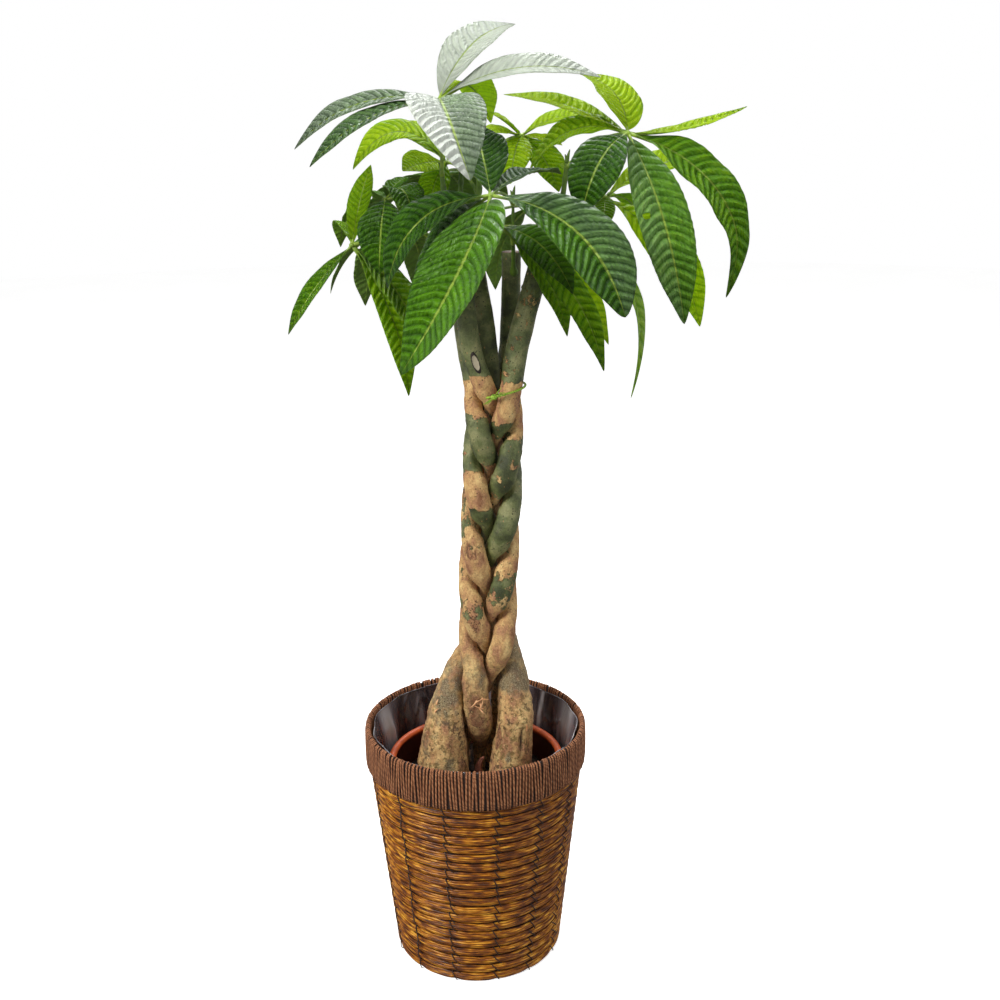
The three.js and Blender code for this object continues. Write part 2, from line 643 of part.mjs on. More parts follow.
const LEAVES = [
  { name: 'leaf_crown', shoot: 'left', at: 0.95, hub: [-25, -40, 1005], leaflets: [
    [80, 70, 75, 58, 0.16, -0.06, 10],
    [160, -30, 20, 40, 0.14, 0, 12],
    [30, -150, -70, 82, 0.15, 0.05, 0],
    [-145, -20, -45, 36, 0.14, 0, -5],
    [-125, -70, -60, 42, 0.1, 0, -12],
    [55, 130, -25, 48, 0.2, 0, 0],
  ] },
  { name: 'leaf_front', shoot: 'middle', at: 0.95, hub: [25, -100, 915], leaflets: [
    [-90, -85, -160, 88, 0.08, -0.2, 0],
    [125, -65, -110, 66, 0.18, 0, 35],
    [75, 80, 15, 42, 0.1, 0, 0],
    [-15, 95, 65, 54, 0.05, 0, 0],
    [-105, 0, -90, 42, 0.2, 0, -5],
    [-80, 40, -125, 50, 0.14, 0, -15],
  ] },
  { name: 'leaf_right', shoot: 'right', at: 0.95, hub: [170, -10, 970], leaflets: [
    [60, -90, -185, 56, 0.14, 0, 25],
    [115, -10, -165, 52, 0.24, 0, 50],
    [-55, -80, -80, 54, 0.14, 0, -20],
    [-45, 60, 60, 42, 0.12, 0.2, -5],
    [130, 30, 25, 28, -0.06, 0, 10],
    [-125, 110, 40, 32, 0.05, 0, -15],
    [-100, 50, -40, 36, 0.2, 0, -20],
  ] },
  { name: 'leaf_low_left', shoot: 'left', at: 0.4, hub: [-120, -20, 860], leaflets: [
    [-70, -20, -90, 32, 0.05, 0, -20],
    [20, 40, 80, 26, 0.05, 0, 0],
    [-20, 80, -10, 26, 0.3, 0, 0],
    [70, -15, -100, 38, 0.08, 0, 30],
    [55, -15, -160, 38, 0.08, 0, 40],
  ] },
  { name: 'leaf_mid_left', shoot: 'left', at: 0.7, hub: [-85, 10, 905], leaflets: [
    [-5, -75, -70, 48, 0.12, 0, 0],
    [-50, 60, -40, 34, 0.1, 0, 0],
    [30, -45, -20, 44, 0.4, 0, 0],
    [-5, 95, -15, 40, 0.1, 0, 0],
    [25, 40, 20, 26, 0.1, 0, 0],
  ] },
  { name: 'leaf_young', shoot: 'centre', at: 0.95, hub: [65, 130, 965], leaflets: [
    [-35, -20, 25, 22, 0.05, 0, 0],
    [-45, -40, 5, 24, 0.05, 0, 0],
    [95, 20, 20, 30, 0.1, 0, 0],
    [45, -30, -10, 18, 0.05, 0, 0],
    [-15, -60, -50, 34, 0.1, 0, 0],
    [40, -50, -60, 36, 0.1, 0, 0],
  ] },
  { name: 'leaf_high_left', shoot: 'centre', at: 0.7, hub: [-20, 50, 940], leaflets: [
    [-100, -20, -5, 42, 0.35, 0, -30],
    [-60, 50, 40, 38, 0.1, 0, -20],
    [-45, -60, -5, 36, 0.05, 0, -20],
    [-20, -35, -50, 34, 0.1, 0, 0],
    [45, 70, 10, 36, 0.1, 0, 0],
  ] },
  { name: 'leaf_low_right', shoot: 'middle', at: 0.5, hub: [35, -50, 880], leaflets: [
    [105, -40, -145, 46, 0.12, 0, 45],
    [70, -70, -60, 44, 0.14, 0, 35],
    [70, 0, -115, 36, 0.1, 0, 50],
    [125, 30, -130, 42, 0.12, 0, 60],
    [145, 60, -195, 28, 0.2, 0, 50],
    [-55, 0, -105, 40, 0.1, 0, -20],
  ] },
  { name: 'leaf_back_right', shoot: 'right', at: 0.6, hub: [155, 60, 900], leaflets: [
    [100, -40, -140, 50, 0.12, 0, 50],
    [-5, -40, -30, 24, 0.1, 0, 0],
    [125, 30, 40, 40, 0.1, 0, 15],
    [-50, 20, 35, 44, 0.1, 0, -20],
    [60, 90, -50, 44, 0.15, 0, 0],
    [-20, 95, -20, 44, 0.2, 0, 0],
  ] },
  { name: 'leaf_back_left', shoot: 'back', at: 0.95, hub: [-25, 100, 925], leaflets: [
    [-90, 30, -55, 44, 0.15, 0, 0],
    [-50, 90, -60, 48, 0.15, 0, 0],
    [30, 105, -60, 50, 0.15, 0, 0],
    [75, 55, -30, 46, 0.1, 0, 0],
    [-40, -30, -45, 36, 0.1, 0, 0],
  ] },
  { name: 'leaf_rear_low', shoot: 'back', at: 0.55, hub: [-70, 120, 870], leaflets: [
    [-90, 0, -80, 44, 0.15, 0, 0],
    [-55, 65, -105, 48, 0.15, 0, 0],
    [20, 60, -115, 48, 0.15, 0, 0],
    [60, 20, -70, 36, 0.1, 0, 0],
  ] },
  { name: 'leaf_rear_mid', shoot: 'centre', at: 0.45, hub: [75, 140, 885], leaflets: [
    [-40, 60, -105, 46, 0.15, 0, 0],
    [45, 60, -110, 48, 0.15, 0, 0],
    [90, 5, -85, 44, 0.15, 0, 0],
  ] },
];

// Share of a leaflet's full half width at t along its midrib: a short stalk, then a
// blade that is widest past its middle and drawn out to a point.
function bladeShare(t) {
  const lateWidest = 1.12;
  const fullness = 0.85;
  const u = Math.max(0, (t - STALK_SHARE) / (1 - STALK_SHARE));
  return Math.sin(Math.PI * Math.min(1, u ** lateWidest)) ** fullness;
}

// Where a leaflet's outlines lie along it. Short leaflets have one fewer.
const LEAFLET_STATIONS = [0.09, 0.26, 0.48, 0.7, 0.88, 1];
const SMALL_STATIONS = [0.12, 0.35, 0.65, 0.87, 1];
const SMALL_LENGTH = 112;

function leafletGeometry(hub, [x, y, z, width, arch, bend, roll], phase) {
  const reach = new THREE.Vector3(x, y, z);
  const length = reach.length();
  const ahead = reach.clone().normalize();
  const lift = new THREE.Vector3(0, 0, 1).addScaledVector(ahead, -ahead.z).normalize();
  const across = ahead.clone().cross(lift);
  const stations = length < SMALL_LENGTH ? SMALL_STATIONS : LEAFLET_STATIONS;
  const rings = [0.5 * HUB_R / length, ...stations].map((t) => {
    const hump = 4 * t * (1 - t);
    const slope = 4 * (1 - 2 * t);
    const centre = hub.clone().addScaledVector(reach, t);
    centre.addScaledVector(lift, arch * length * hump);
    centre.addScaledVector(across, bend * length * hump);
    const tangent = ahead.clone().addScaledVector(lift, arch * slope);
    tangent.addScaledVector(across, bend * slope).normalize();
    const turn = THREE.MathUtils.degToRad(roll) * Math.min(1, 4 * t);
    const side = across.clone().addScaledVector(tangent, -across.dot(tangent)).normalize();
    side.applyAxisAngle(tangent, turn);
    const normal = side.clone().cross(tangent).normalize();
    const share = bladeShare(t);
    const half = STALK_HALF_WIDTH + (width / 2 - STALK_HALF_WIDTH) * share;
    const at = (edge, level) => {
      const wave = WAVE * width * share * Math.sin(WAVE_TURNS * t + phase + edge);
      const rise = edge === 0 ? 0 : FOLD * (half - STALK_HALF_WIDTH) + wave;
      const point = centre.clone().addScaledVector(side, edge * half);
      return point.addScaledVector(normal, rise + level * BLADE / 2);
    };
    return [at(0, 1), at(1, 1), at(1, -1), at(0, -1), at(-1, -1), at(-1, 1)];
  });
  return loft(rings, [2, 3]);
}

function leafSolid(leaf, order) {
  const hub = vec(leaf.hub);
  const shoot = SHOOTS[leaf.shoot];
  const start = shootCurve(shoot).getPoint(leaf.at);
  const petiole = tube(petioleCurve(start, hub), PETIOLE_R, PETIOLE_R * 0.8, 5, 5);
  const knuckle = new THREE.SphereGeometry(HUB_R, 5, 4);
  knuckle.translate(hub.x, hub.y, hub.z);
  let leafBody = toSolid(knuckle).add(toSolid(petiole));
  leaf.leaflets.forEach((leaflet, i) => {
    leafBody = leafBody.add(toSolid(leafletGeometry(hub, leaflet, order + 2 * i)));
  });
  return leafBody.subtract(shootSolid(shoot, FIT_GAP));
}

LEAVES.forEach((leaf, order) => addPiece(leaf.name, toGeometry(leafSolid(leaf, order)), LEAF));

export default tree;
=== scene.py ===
"""Potted money tree: the finished look of its basket, pot, plaited trunks and leaves.

Sizes and places are in millimetres, as on the solids, and turn into metres where a mesh
is placed. +Z is up and the front is towards -Y.
"""

import logging
import math
from contextlib import contextmanager
from dataclasses import dataclass, field
from enum import Enum
from itertools import product
from typing import Callable, Iterator, Sequence

import bpy
import numpy as np
from mathutils import Matrix, Vector

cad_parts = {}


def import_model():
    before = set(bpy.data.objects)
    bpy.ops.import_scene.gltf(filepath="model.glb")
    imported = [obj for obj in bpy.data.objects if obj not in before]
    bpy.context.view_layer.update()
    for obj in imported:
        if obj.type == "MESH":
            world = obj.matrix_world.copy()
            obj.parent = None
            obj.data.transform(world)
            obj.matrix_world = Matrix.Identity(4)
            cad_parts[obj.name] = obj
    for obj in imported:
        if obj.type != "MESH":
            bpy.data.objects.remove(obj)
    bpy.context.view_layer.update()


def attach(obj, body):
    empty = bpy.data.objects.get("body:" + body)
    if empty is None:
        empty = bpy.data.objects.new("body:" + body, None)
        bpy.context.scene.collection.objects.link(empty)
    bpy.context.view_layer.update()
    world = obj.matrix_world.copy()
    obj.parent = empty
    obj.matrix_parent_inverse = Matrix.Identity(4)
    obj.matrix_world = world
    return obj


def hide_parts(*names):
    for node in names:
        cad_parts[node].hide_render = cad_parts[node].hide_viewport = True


log = logging.getLogger("money_tree")

Points = np.ndarray
Piece = bpy.types.Object
Material = bpy.types.Material
Socket = bpy.types.NodeSocket
Triple = tuple[float, float, float]
Stops = tuple[tuple[float, float], ...]
Stations = tuple[tuple[float, float, float, float], ...]
Placement = Callable[[Points, Points], Points]

MM = 0.001
WELD = 0.00001
CRISP_EDGE = 40.0
NOISE_LOW = 0.3
NOISE_HIGH = 0.7
BODY = "root"


# Selecting and reading meshes


def deselect_all() -> None:
    """Leaves nothing selected, the solids of the frame included."""
    for piece in bpy.context.selected_objects:
        piece.select_set(False)


def activate(piece: Piece) -> None:
    """Selects one piece alone and makes it the active one.

    Args:
        piece: the object to work on.
    """
    deselect_all()
    piece.select_set(True)
    bpy.context.view_layer.objects.active = piece


@contextmanager
def edit_mode(piece: Piece) -> Iterator[None]:
    """Opens one piece in edit mode with all of it selected.

    Args:
        piece: the mesh object to edit.
    """
    activate(piece)
    bpy.ops.object.mode_set(mode="EDIT")
    bpy.ops.mesh.select_all(action="SELECT")
    yield
    bpy.ops.object.mode_set(mode="OBJECT")


def read_points(piece: Piece) -> Points:
    """Reads where a piece's vertices lie.

    Args:
        piece: the mesh object.

    Returns:
        Rows of x, y and z in metres.
    """
    flat = np.empty(3 * len(piece.data.vertices))
    piece.data.vertices.foreach_get("co", flat)
    return flat.reshape(-1, 3)


def write_points(piece: Piece, points: Points) -> None:
    """Moves the piece's vertices to points given in millimetres."""
    piece.data.vertices.foreach_set("co", (points * MM).ravel())
    piece.data.update()


def weld(piece: Piece) -> None:
    """Merges doubled vertices and turns the faces outwards.

    Args:
        piece: the closed mesh object.
    """
    with edit_mode(piece):
        bpy.ops.mesh.remove_doubles(threshold=WELD)
        bpy.ops.mesh.normals_make_consistent(inside=False)


def paint(piece: Piece, name: str, values: Points) -> None:
    """Stores one number for each vertex under a name that a material reads."""
    layer = piece.data.attributes.new(name, "FLOAT", "POINT")
    layer.data.foreach_set("value", np.ascontiguousarray(values, dtype=float))


def map_uv(piece: Piece, change: Callable[[Points], Points]) -> None:
    """Changes the piece's UV map.

    Args:
        piece: the mesh object.
        change: gives the new rows of u and v for the old ones.
    """
    layer = piece.data.uv_layers.active
    flat = np.empty(2 * len(layer.data))
    layer.data.foreach_get("uv", flat)
    layer.data.foreach_set("uv", change(flat.reshape(-1, 2)).ravel())


def shift_uv(piece: Piece, along: float, around: float) -> None:
    """Slides the piece's UV map, so that copies don't repeat one pattern."""
    map_uv(piece, lambda uv: uv + (along, around))


def stretch_uv(piece: Piece, along: float) -> None:
    """Scales the piece's UV map along it, to the size of the thing it lies on."""
    map_uv(piece, lambda uv: uv * (along, 1.0))


# Making meshes


def bent_grid(name: str, columns: int, rows: int, place: Placement, closed: bool = False,
              paints: dict[str, Placement] | None = None) -> Piece:
    """Adds a flat grid and bends it into a skin.

    Args:
        name: the new object's name.
        columns: faces along the skin.
        rows: faces across or around it.
        place: gives points in millimetres for u along and v across, both from 0 to 1.
        closed: whether the edges v = 0 and v = 1 meet, or the ends close to a point.
        paints: numbers to store for each vertex, by name, as functions of u and v.

    Returns:
        The new object.
    """
    deselect_all()
    bpy.ops.mesh.primitive_grid_add(x_subdivisions=columns, y_subdivisions=rows, size=1)
    skin = bpy.context.object
    skin.name = name
    flat = read_points(skin) + 0.5
    u = flat[:, 0]
    v = flat[:, 1]
    for label, values in (paints or {}).items():
        paint(skin, label, values(u, v))
    write_points(skin, place(u, v))
    if closed:
        weld(skin)
    bpy.ops.object.shade_smooth()
    return skin


def turned(name: str, outline: Sequence[tuple[float, float]], steps: int) -> Piece:
    """Spins a closed outline round the Z axis.

    Args:
        name: the new object's name.
        outline: corners as radius and height, in order, in millimetres.
        steps: sides of the turned shape.

    Returns:
        The new object, closed, with its faces outwards.
    """
    deselect_all()
    bpy.ops.mesh.primitive_circle_add(vertices=len(outline), fill_type="NOTHING")
    shape = bpy.context.object
    shape.name = name
    write_points(shape, np.array([(radius, 0.0, z) for radius, z in outline]))
    with edit_mode(shape):
        bpy.ops.mesh.spin(steps=steps, angle=math.tau, center=(0, 0, 0), axis=(0, 0, 1))
    weld(shape)
    smooth_below(shape, CRISP_EDGE)
    return shape


def smooth_below(piece: Piece, degrees: float) -> None:
    """Shades a piece smooth, but leaves edges sharper than an angle crisp."""
    activate(piece)
    bpy.ops.object.shade_smooth_by_angle(angle=math.radians(degrees))


def copy_of(template: Piece, name: str) -> Piece:
    """Copies a piece together with its mesh.

    Args:
        template: the object to copy.
        name: the copy's name.

    Returns:
        The copy.
    """
    twin = template.copy()
    twin.data = template.data.copy()
    twin.name = name
    bpy.context.collection.objects.link(twin)
    return twin


def discard(piece: Piece) -> None:
    """Deletes a template once its copies are made."""
    bpy.data.objects.remove(piece)


def joined(name: str, parts: Sequence[Piece]) -> Piece:
    """Joins parts in one mesh and names it.

    Args:
        name: the name of the whole.
        parts: the objects to join.

    Returns:
        The whole.
    """
    deselect_all()
    for part in parts:
        part.select_set(True)
    bpy.context.view_layer.objects.active = parts[0]
    if len(parts) > 1:
        bpy.ops.object.join()
    whole = bpy.context.view_layer.objects.active
    whole.name = name
    whole.data.name = name
    return whole


def thicken(piece: Piece, thickness: float, other_side: int = 0) -> None:
    """Gives a skin its thickness with a modifier that is applied.

    Args:
        piece: the skin.
        thickness: in millimetres, half on each side.
        other_side: how many slots after its own each face's other side finds its material.
    """
    activate(piece)
    modifier = piece.modifiers.new("thickness", "SOLIDIFY")
    modifier.thickness = thickness * MM
    modifier.offset = 0.0
    modifier.material_offset = other_side
    bpy.ops.object.modifier_apply(modifier=modifier.name)


def drill(piece: Piece, places: Sequence[Triple], radius: float, depth: float) -> None:
    """Cuts round holes along Z through a piece.

    Args:
        piece: the closed mesh to cut.
        places: the middle of each hole, in millimetres.
        radius: of every hole.
        depth: length of the cut.
    """
    bits = []
    for place in places:
        deselect_all()
        bpy.ops.mesh.primitive_cylinder_add(
            vertices=28, radius=radius * MM, depth=depth * MM, location=tuple(MM * c for c in place),
        )
        bits.append(bpy.context.object)
    cutter = joined("cutter", bits)
    cut = piece.modifiers.new("holes", "BOOLEAN")
    cut.object = cutter
    activate(piece)
    bpy.ops.object.modifier_apply(modifier=cut.name)
    discard(cutter)


# Lines, curves and soft noise


def ease(t: Points) -> Points:
    """Smooth step from 0 to 1."""
    s = np.clip(t, 0.0, 1.0)
    return s * s * (3 - 2 * s)


def mix(a: Points | float, b: Points | float, t: Points | float) -> Points | float:
    """Point at share t of the way from a to b."""
    return a + (b - a) * t


def unit(rows: Points) -> Points:
    """Rows made one long."""
    return rows / np.maximum(np.linalg.norm(rows, axis=-1, keepdims=True), 1e-9)


def polar(reach: Points | float, angle: Points, z: Points) -> Points:
    """Rows of x, y and z for distances from the Z axis at angles and heights."""
    return np.stack([reach * np.cos(angle), reach * np.sin(angle), z], axis=1)


def soft_noise(points: Points, grain: float | Triple, seed: int = 0) -> Points:
    """Smooth random values from -1 to 1 that change over about one grain.

    Args:
        points: rows of x, y and z.
        grain: size of the changes, for all three directions or for each.
        seed: picks another pattern.

    Returns:
        One value for each row.
    """
    cells = points / np.asarray(grain, dtype=float)
    low = np.floor(cells).astype(np.int64)
    share = ease(cells - low)
    total = np.zeros(len(points))
    for corner in product((0, 1), repeat=3):
        x, y, z = (low + corner).T
        mixed = (x * 73856093) ^ (y * 19349663) ^ (z * 83492791) ^ ((seed + 1) * 40503)
        mixed = (mixed ^ (mixed >> 13)) * 1274126177
        value = ((mixed >> 9) & 0xFFFF) / 0x7FFF - 1.0
        weight = np.prod(np.where(np.array(corner, dtype=bool), share, 1 - share), axis=1)
        total += weight * value
    return total


def through(stops: Stops, at: Points) -> Points:
    """Straight-line values between (place, value) stops."""
    places, values = zip(*stops)
    return np.interp(at, places, values)


def hermite(stations: Points, z: Points) -> Points:
    """Smooth curve through stations whose heights rise.

    Args:
        stations: rows of height and any number of values.
        z: the heights to read it at.

    Returns:
        One row of values for each height.
    """
    last = len(stations) - 1
    i = np.clip(np.searchsorted(stations[:, 0], z, side="left") - 1, 0, last - 1)
    before = stations[np.maximum(0, i - 1)]
    a = stations[i]
    b = stations[i + 1]
    after = stations[np.minimum(last, i + 2)]
    span = (b[:, 0] - a[:, 0])[:, None]
    t = (z[:, None] - a[:, :1]) / span
    start_slope = (b[:, 1:] - before[:, 1:]) / (b[:, :1] - before[:, :1]) * span
    end_slope = (after[:, 1:] - a[:, 1:]) / (after[:, :1] - a[:, :1]) * span
    start_share = 2 * t**3 - 3 * t**2 + 1
    swing = (t**3 - 2 * t**2 + t) * start_slope + (t**3 - t**2) * end_slope
    return start_share * a[:, 1:] + (1 - start_share) * b[:, 1:] + swing


def bent_curve(start: Triple, end: Triple, across: float, up: float, lift: float, t: Points) -> Points:
    """Lays a curve from one point to another round an elbow.

    Args:
        start: its first point.
        end: its last point.
        across: how far along in x and y the elbow lies, from 0 to 1.
        up: how far along in z the elbow lies, from 0 to 1.
        lift: how much higher than that it lies.
        t: places along the curve, from 0 to 1.

    Returns:
        One point for each place.
    """
    a = np.array(start, dtype=float)
    c = np.array(end, dtype=float)
    elbow = np.array([mix(a[0], c[0], across), mix(a[1], c[1], across), mix(a[2], c[2], up) + lift])
    t = np.asarray(t, dtype=float)[:, None]
    return (1 - t) ** 2 * a + 2 * t * (1 - t) * elbow + t**2 * c


def tube(name: str, path: Points, radii: Points | float, sides: int, loop: bool = False) -> Piece:
    """Lays a round tube along a path, closed to a point at both ends or joined in a loop.

    Args:
        name: the new object's name.
        path: its middle line, in millimetres.
        radii: one radius, or one for each point of the path.
        sides: sides of its section.
        loop: whether the path's end meets its start.

    Returns:
        The tube, whose UV map holds millimetres along it and turns around it.
    """
    line = np.vstack([path, path[:1]]) if loop else path
    radius = np.broadcast_to(np.asarray(radii, dtype=float), (len(path),)).copy()
    radius = np.append(radius, radius[0]) if loop else radius
    if loop:
        ring = np.vstack([path[-1:], path, path[:2]])
        tangent = unit(ring[2:] - ring[:-2])
    else:
        tangent = unit(np.gradient(line, axis=0))
        line = np.vstack([line[:1], line, line[-1:]])
        tangent = np.vstack([tangent[:1], tangent, tangent[-1:]])
        radius = np.concatenate([[0.0], radius, [0.0]])
    sideways = np.empty_like(line)
    side = np.array([0.0, 0.0, 1.0]) if abs(tangent[0, 2]) < 0.9 else np.array([1.0, 0.0, 0.0])
    for i, ahead in enumerate(tangent):
        side = side - ahead * side.dot(ahead)
        side = side / np.linalg.norm(side)
        sideways[i] = side
    upwards = np.cross(tangent, sideways)
    count = len(line) - 1

    def place(u: Points, v: Points) -> Points:
        """Points of the tube's skin."""
        i = np.rint(u * count).astype(int)
        turn = math.tau * v[:, None]
        out = np.cos(turn) * sideways[i] + np.sin(turn) * upwards[i]
        return line[i] + radius[i][:, None] * out

    piece = bent_grid(name, count, sides, place, closed=True)
    stretch_uv(piece, np.linalg.norm(np.diff(line, axis=0), axis=1).sum())
    return piece


# Materials


def seen(red: int, green: int, blue: int) -> tuple[float, float, float, float]:
    """Turns a colour as it is seen into the linear colour that a socket takes.

    Args:
        red: from 0 to 255.
        green: from 0 to 255.
        blue: from 0 to 255.

    Returns:
        Linear red, green and blue, and full cover.
    """
    def linear(level: int) -> float:
        """One channel, from 0 to 1."""
        share = level / 255
        return share / 12.92 if share <= 0.04045 else ((share + 0.055) / 1.055) ** 2.4

    return linear(red), linear(green), linear(blue), 1.0


@dataclass
class NodeSketch:
    """The node tree of a material or of the air, with short ways to add to it."""

    owner: Material | bpy.types.World

    @classmethod
    def start(cls, name: str) -> "NodeSketch":
        """Makes an empty material.

        Args:
            name: the material's name.

        Returns:
            The sketch of its nodes.
        """
        material = bpy.data.materials.new(name)
        material.use_nodes = True
        material.node_tree.nodes.clear()
        return cls(material)

    def add(self, kind: str, inputs: dict | None = None, **settings) -> bpy.types.Node:
        """Adds a node.

        Args:
            kind: the node's type, without the words ShaderNode.
            inputs: sockets by name or number, each linked to a socket or set to a value.
            settings: the node's own properties.

        Returns:
            The new node.
        """
        node = self.owner.node_tree.nodes.new("ShaderNode" + kind)
        for key, value in settings.items():
            setattr(node, key, value)
        for key, value in (inputs or {}).items():
            if isinstance(value, bpy.types.NodeSocket):
                self.owner.node_tree.links.new(value, node.inputs[key])
            else:
                node.inputs[key].default_value = value
        return node

    def place(self) -> Socket:
        """The point in the object's own space."""
        return self.add("TexCoord").outputs["Object"]

    def uv(self, name: str = "UVMap") -> Socket:
        """The place in a UV map."""
        return self.add("UVMap", uv_map=name).outputs["UV"]

    def scaled(self, vector: Socket, x: float, y: float, z: float = 1.0, turn: float = 0.0) -> Socket:
        """The same place, stretched along each axis and turned about Z."""
        inputs = {"Vector": vector, "Scale": (x, y, z), "Rotation": (0.0, 0.0, turn)}
        return self.add("Mapping", inputs).outputs["Vector"]

    def noise(self, vector: Socket, scale: float, detail: float = 4.0, rough: float = 0.55) -> Socket:
        """Cloudy noise from 0 to 1."""
        inputs = {"Vector": vector, "Scale": scale, "Detail": detail, "Roughness": rough}
        return self.add("TexNoise", inputs).outputs["Fac"]

    def cells(self, vector: Socket, scale: float, feature: str = "F1") -> Socket:
        """Distance within the cells of a random net, or to their edges."""
        node = self.add("TexVoronoi", {"Vector": vector, "Scale": scale}, feature=feature)
        return node.outputs["Distance"]

    def painted(self, name: str) -> Socket:
        """A number stored on the mesh."""
        return self.add("Attribute", attribute_name=name, attribute_type="GEOMETRY").outputs["Fac"]

    def math(self, operation: str, a: Socket | float, b: Socket | float = 0.0) -> Socket:
        """A sum on one or two numbers."""
        return self.add("Math", {0: a, 1: b}, operation=operation).outputs[0]

    def fitted(self, value: Socket, low: float, high: float, to_low: float, to_high: float) -> Socket:
        """A number moved from one range to another, and kept inside it."""
        inputs = {"Value": value, "From Min": low, "From Max": high, "To Min": to_low, "To Max": to_high}
        return self.add("MapRange", inputs).outputs["Result"]

    def spread(self, noise: Socket, to_low: float, to_high: float) -> Socket:
        """A noise moved to another range from the one where most of it lies."""
        return self.fitted(noise, NOISE_LOW, NOISE_HIGH, to_low, to_high)

    def ramp(self, value: Socket, stops: Sequence[tuple[float, tuple]]) -> Socket:
        """Adds a colour that runs through stops.

        Args:
            value: the number that picks the colour.
            stops: places from 0 to 1, each with its colour.

        Returns:
            The colour.
        """
        node = self.add("ValToRGB", {"Fac": value})
        elements = node.color_ramp.elements
        elements[0].position, elements[0].color = stops[0]
        elements[1].position, elements[1].color = stops[-1]
        for position, color in stops[1:-1]:
            elements.new(position).color = color
        return node.outputs["Color"]

    def blend(self, share: Socket | float, a: Socket | tuple, b: Socket | tuple, how: str = "MIX") -> Socket:
        """Two colours mixed by a share."""
        node = self.add("Mix", {0: share, 6: a, 7: b}, data_type="RGBA", blend_type=how)
        return node.outputs[2]

    def bump(
        self, height: Socket, depth: float, strength: float = 1.0, under: Socket | None = None,
    ) -> Socket:
        """Raises the surface.

        Args:
            height: the relief, from 0 to 1.
            depth: how many metres its full range stands for.
            strength: how much of it shows.
            under: another relief that this one lies on.

        Returns:
            The surface's direction.
        """
        inputs = {"Height": height, "Distance": depth, "Strength": strength}
        if under is not None:
            inputs["Normal"] = under
        return self.add("Bump", inputs).outputs["Normal"]

    def surface(self, **sockets) -> bpy.types.Node:
        """The main shader, with its sockets named in words joined by underscores."""
        inputs = {key.replace("_", " "): value for key, value in sockets.items()}
        return self.add("BsdfPrincipled", inputs)

    def finish(self, shader: bpy.types.Node) -> Material:
        """Links the shader to the output and returns the material."""
        self.add("OutputMaterial", {"Surface": shader.outputs[0]})
        return self.owner


@dataclass(frozen=True)
class StrawFinish:
    """Lacquered straw whose colour runs in streaks along each stalk."""

    deep: tuple = seen(64, 28, 4)
    brown: tuple = seen(120, 62, 8)
    gold: tuple = seen(182, 112, 14)
    pale: tuple = seen(232, 172, 62)

    def build(self) -> Material:
        """Sets up the finish's nodes.

        Returns:
            The material.
        """
        sketch = NodeSketch.start("lacquered_straw")
        stalk = sketch.uv()
        streak = sketch.noise(sketch.scaled(stalk, 0.06, 2.9), 1.0, 2.0, 0.5)
        fibre = sketch.noise(sketch.scaled(stalk, 0.045, 12.0), 1.0, 2.0)
        patch = sketch.noise(sketch.place(), 16.0, 2.0)
        tone = sketch.math("ADD", streak, sketch.spread(fibre, -0.1, 0.1))
        tone = sketch.math("ADD", tone, sketch.fitted(patch, 0.35, 0.65, -0.05, 0.05))
        stops = [(0.33, self.deep), (0.46, self.brown), (0.58, self.gold), (0.72, self.pale)]
        shader = sketch.surface(
            Base_Color=sketch.ramp(tone, stops),
            Roughness=sketch.spread(streak, 0.48, 0.34),
            Normal=sketch.bump(fibre, 0.0003, 0.7),
            Specular_IOR_Level=0.35,
            Coat_Weight=0.08,
            Coat_Roughness=0.22,
        )
        return sketch.finish(shader)


@dataclass(frozen=True)
class PlainFibreFinish:
    """Dark or dull fibre, such as cane stitches, cord in shade and roots."""

    name: str
    dark: tuple
    light: tuple
    rough: float = 0.7
    grain: float = 300.0

    def build(self) -> Material:
        """Sets up the finish's nodes.

        Returns:
            The material.
        """
        sketch = NodeSketch.start(self.name)
        cloud = sketch.noise(sketch.place(), self.grain, 5.0)
        shader = sketch.surface(
            Base_Color=sketch.ramp(cloud, [(0.3, self.dark), (0.7, self.light)]),
            Roughness=self.rough,
            Normal=sketch.bump(cloud, 0.0006, 0.8),
        )
        return sketch.finish(shader)


@dataclass(frozen=True)
class CordFinish:
    """Dull brown paper cord, twisted from strips, with painted shade on the flanks facing the next turns and
    in the twist's grooves.
    """

    # The darkest colour stands for painted shade on the flanks and in the twist's grooves.
    crease: tuple = seen(40, 22, 15)
    paper: tuple = seen(130, 79, 47)
    worn: tuple = seen(174, 118, 78)
    twist: float = 0.62832

    def build(self) -> Material:
        """Sets up the finish's nodes.

        Returns:
            The material.
        """
        sketch = NodeSketch.start("paper_cord")
        strand = sketch.uv()
        pitch = sketch.scaled(strand, 0.27, 2.0)
        waves = {"Vector": pitch, "Scale": self.twist, "Distortion": 0.6, "Detail": 2.0}
        twist = sketch.add("TexWave", waves, wave_type="BANDS", bands_direction="DIAGONAL").outputs["Fac"]
        cloud = sketch.noise(sketch.scaled(strand, 0.16, 1.9), 1.0, 4.0)
        # Painted shade: the cord darkens on the flanks that face its neighbours and in the twist's grooves.
        around = sketch.math("MULTIPLY", sketch.add("SeparateXYZ", {0: strand}).outputs["Y"], math.tau)
        flank = sketch.math("ABSOLUTE", sketch.math("COSINE", around))
        ridge = sketch.fitted(twist, 0.0, 0.6, 0.78, 1.0)
        light = sketch.math("MULTIPLY", ridge, sketch.fitted(flank, 0.5, 0.95, 1.0, 0.3))
        tone = sketch.math("MULTIPLY", light, sketch.fitted(cloud, 0.25, 0.75, 0.7, 1.14))
        shader = sketch.surface(
            Base_Color=sketch.ramp(tone, [(0.22, self.crease), (0.76, self.paper), (1.0, self.worn)]),
            Roughness=0.8,
            Normal=sketch.bump(twist, 0.0006, 0.6),
        )
        return sketch.finish(shader)


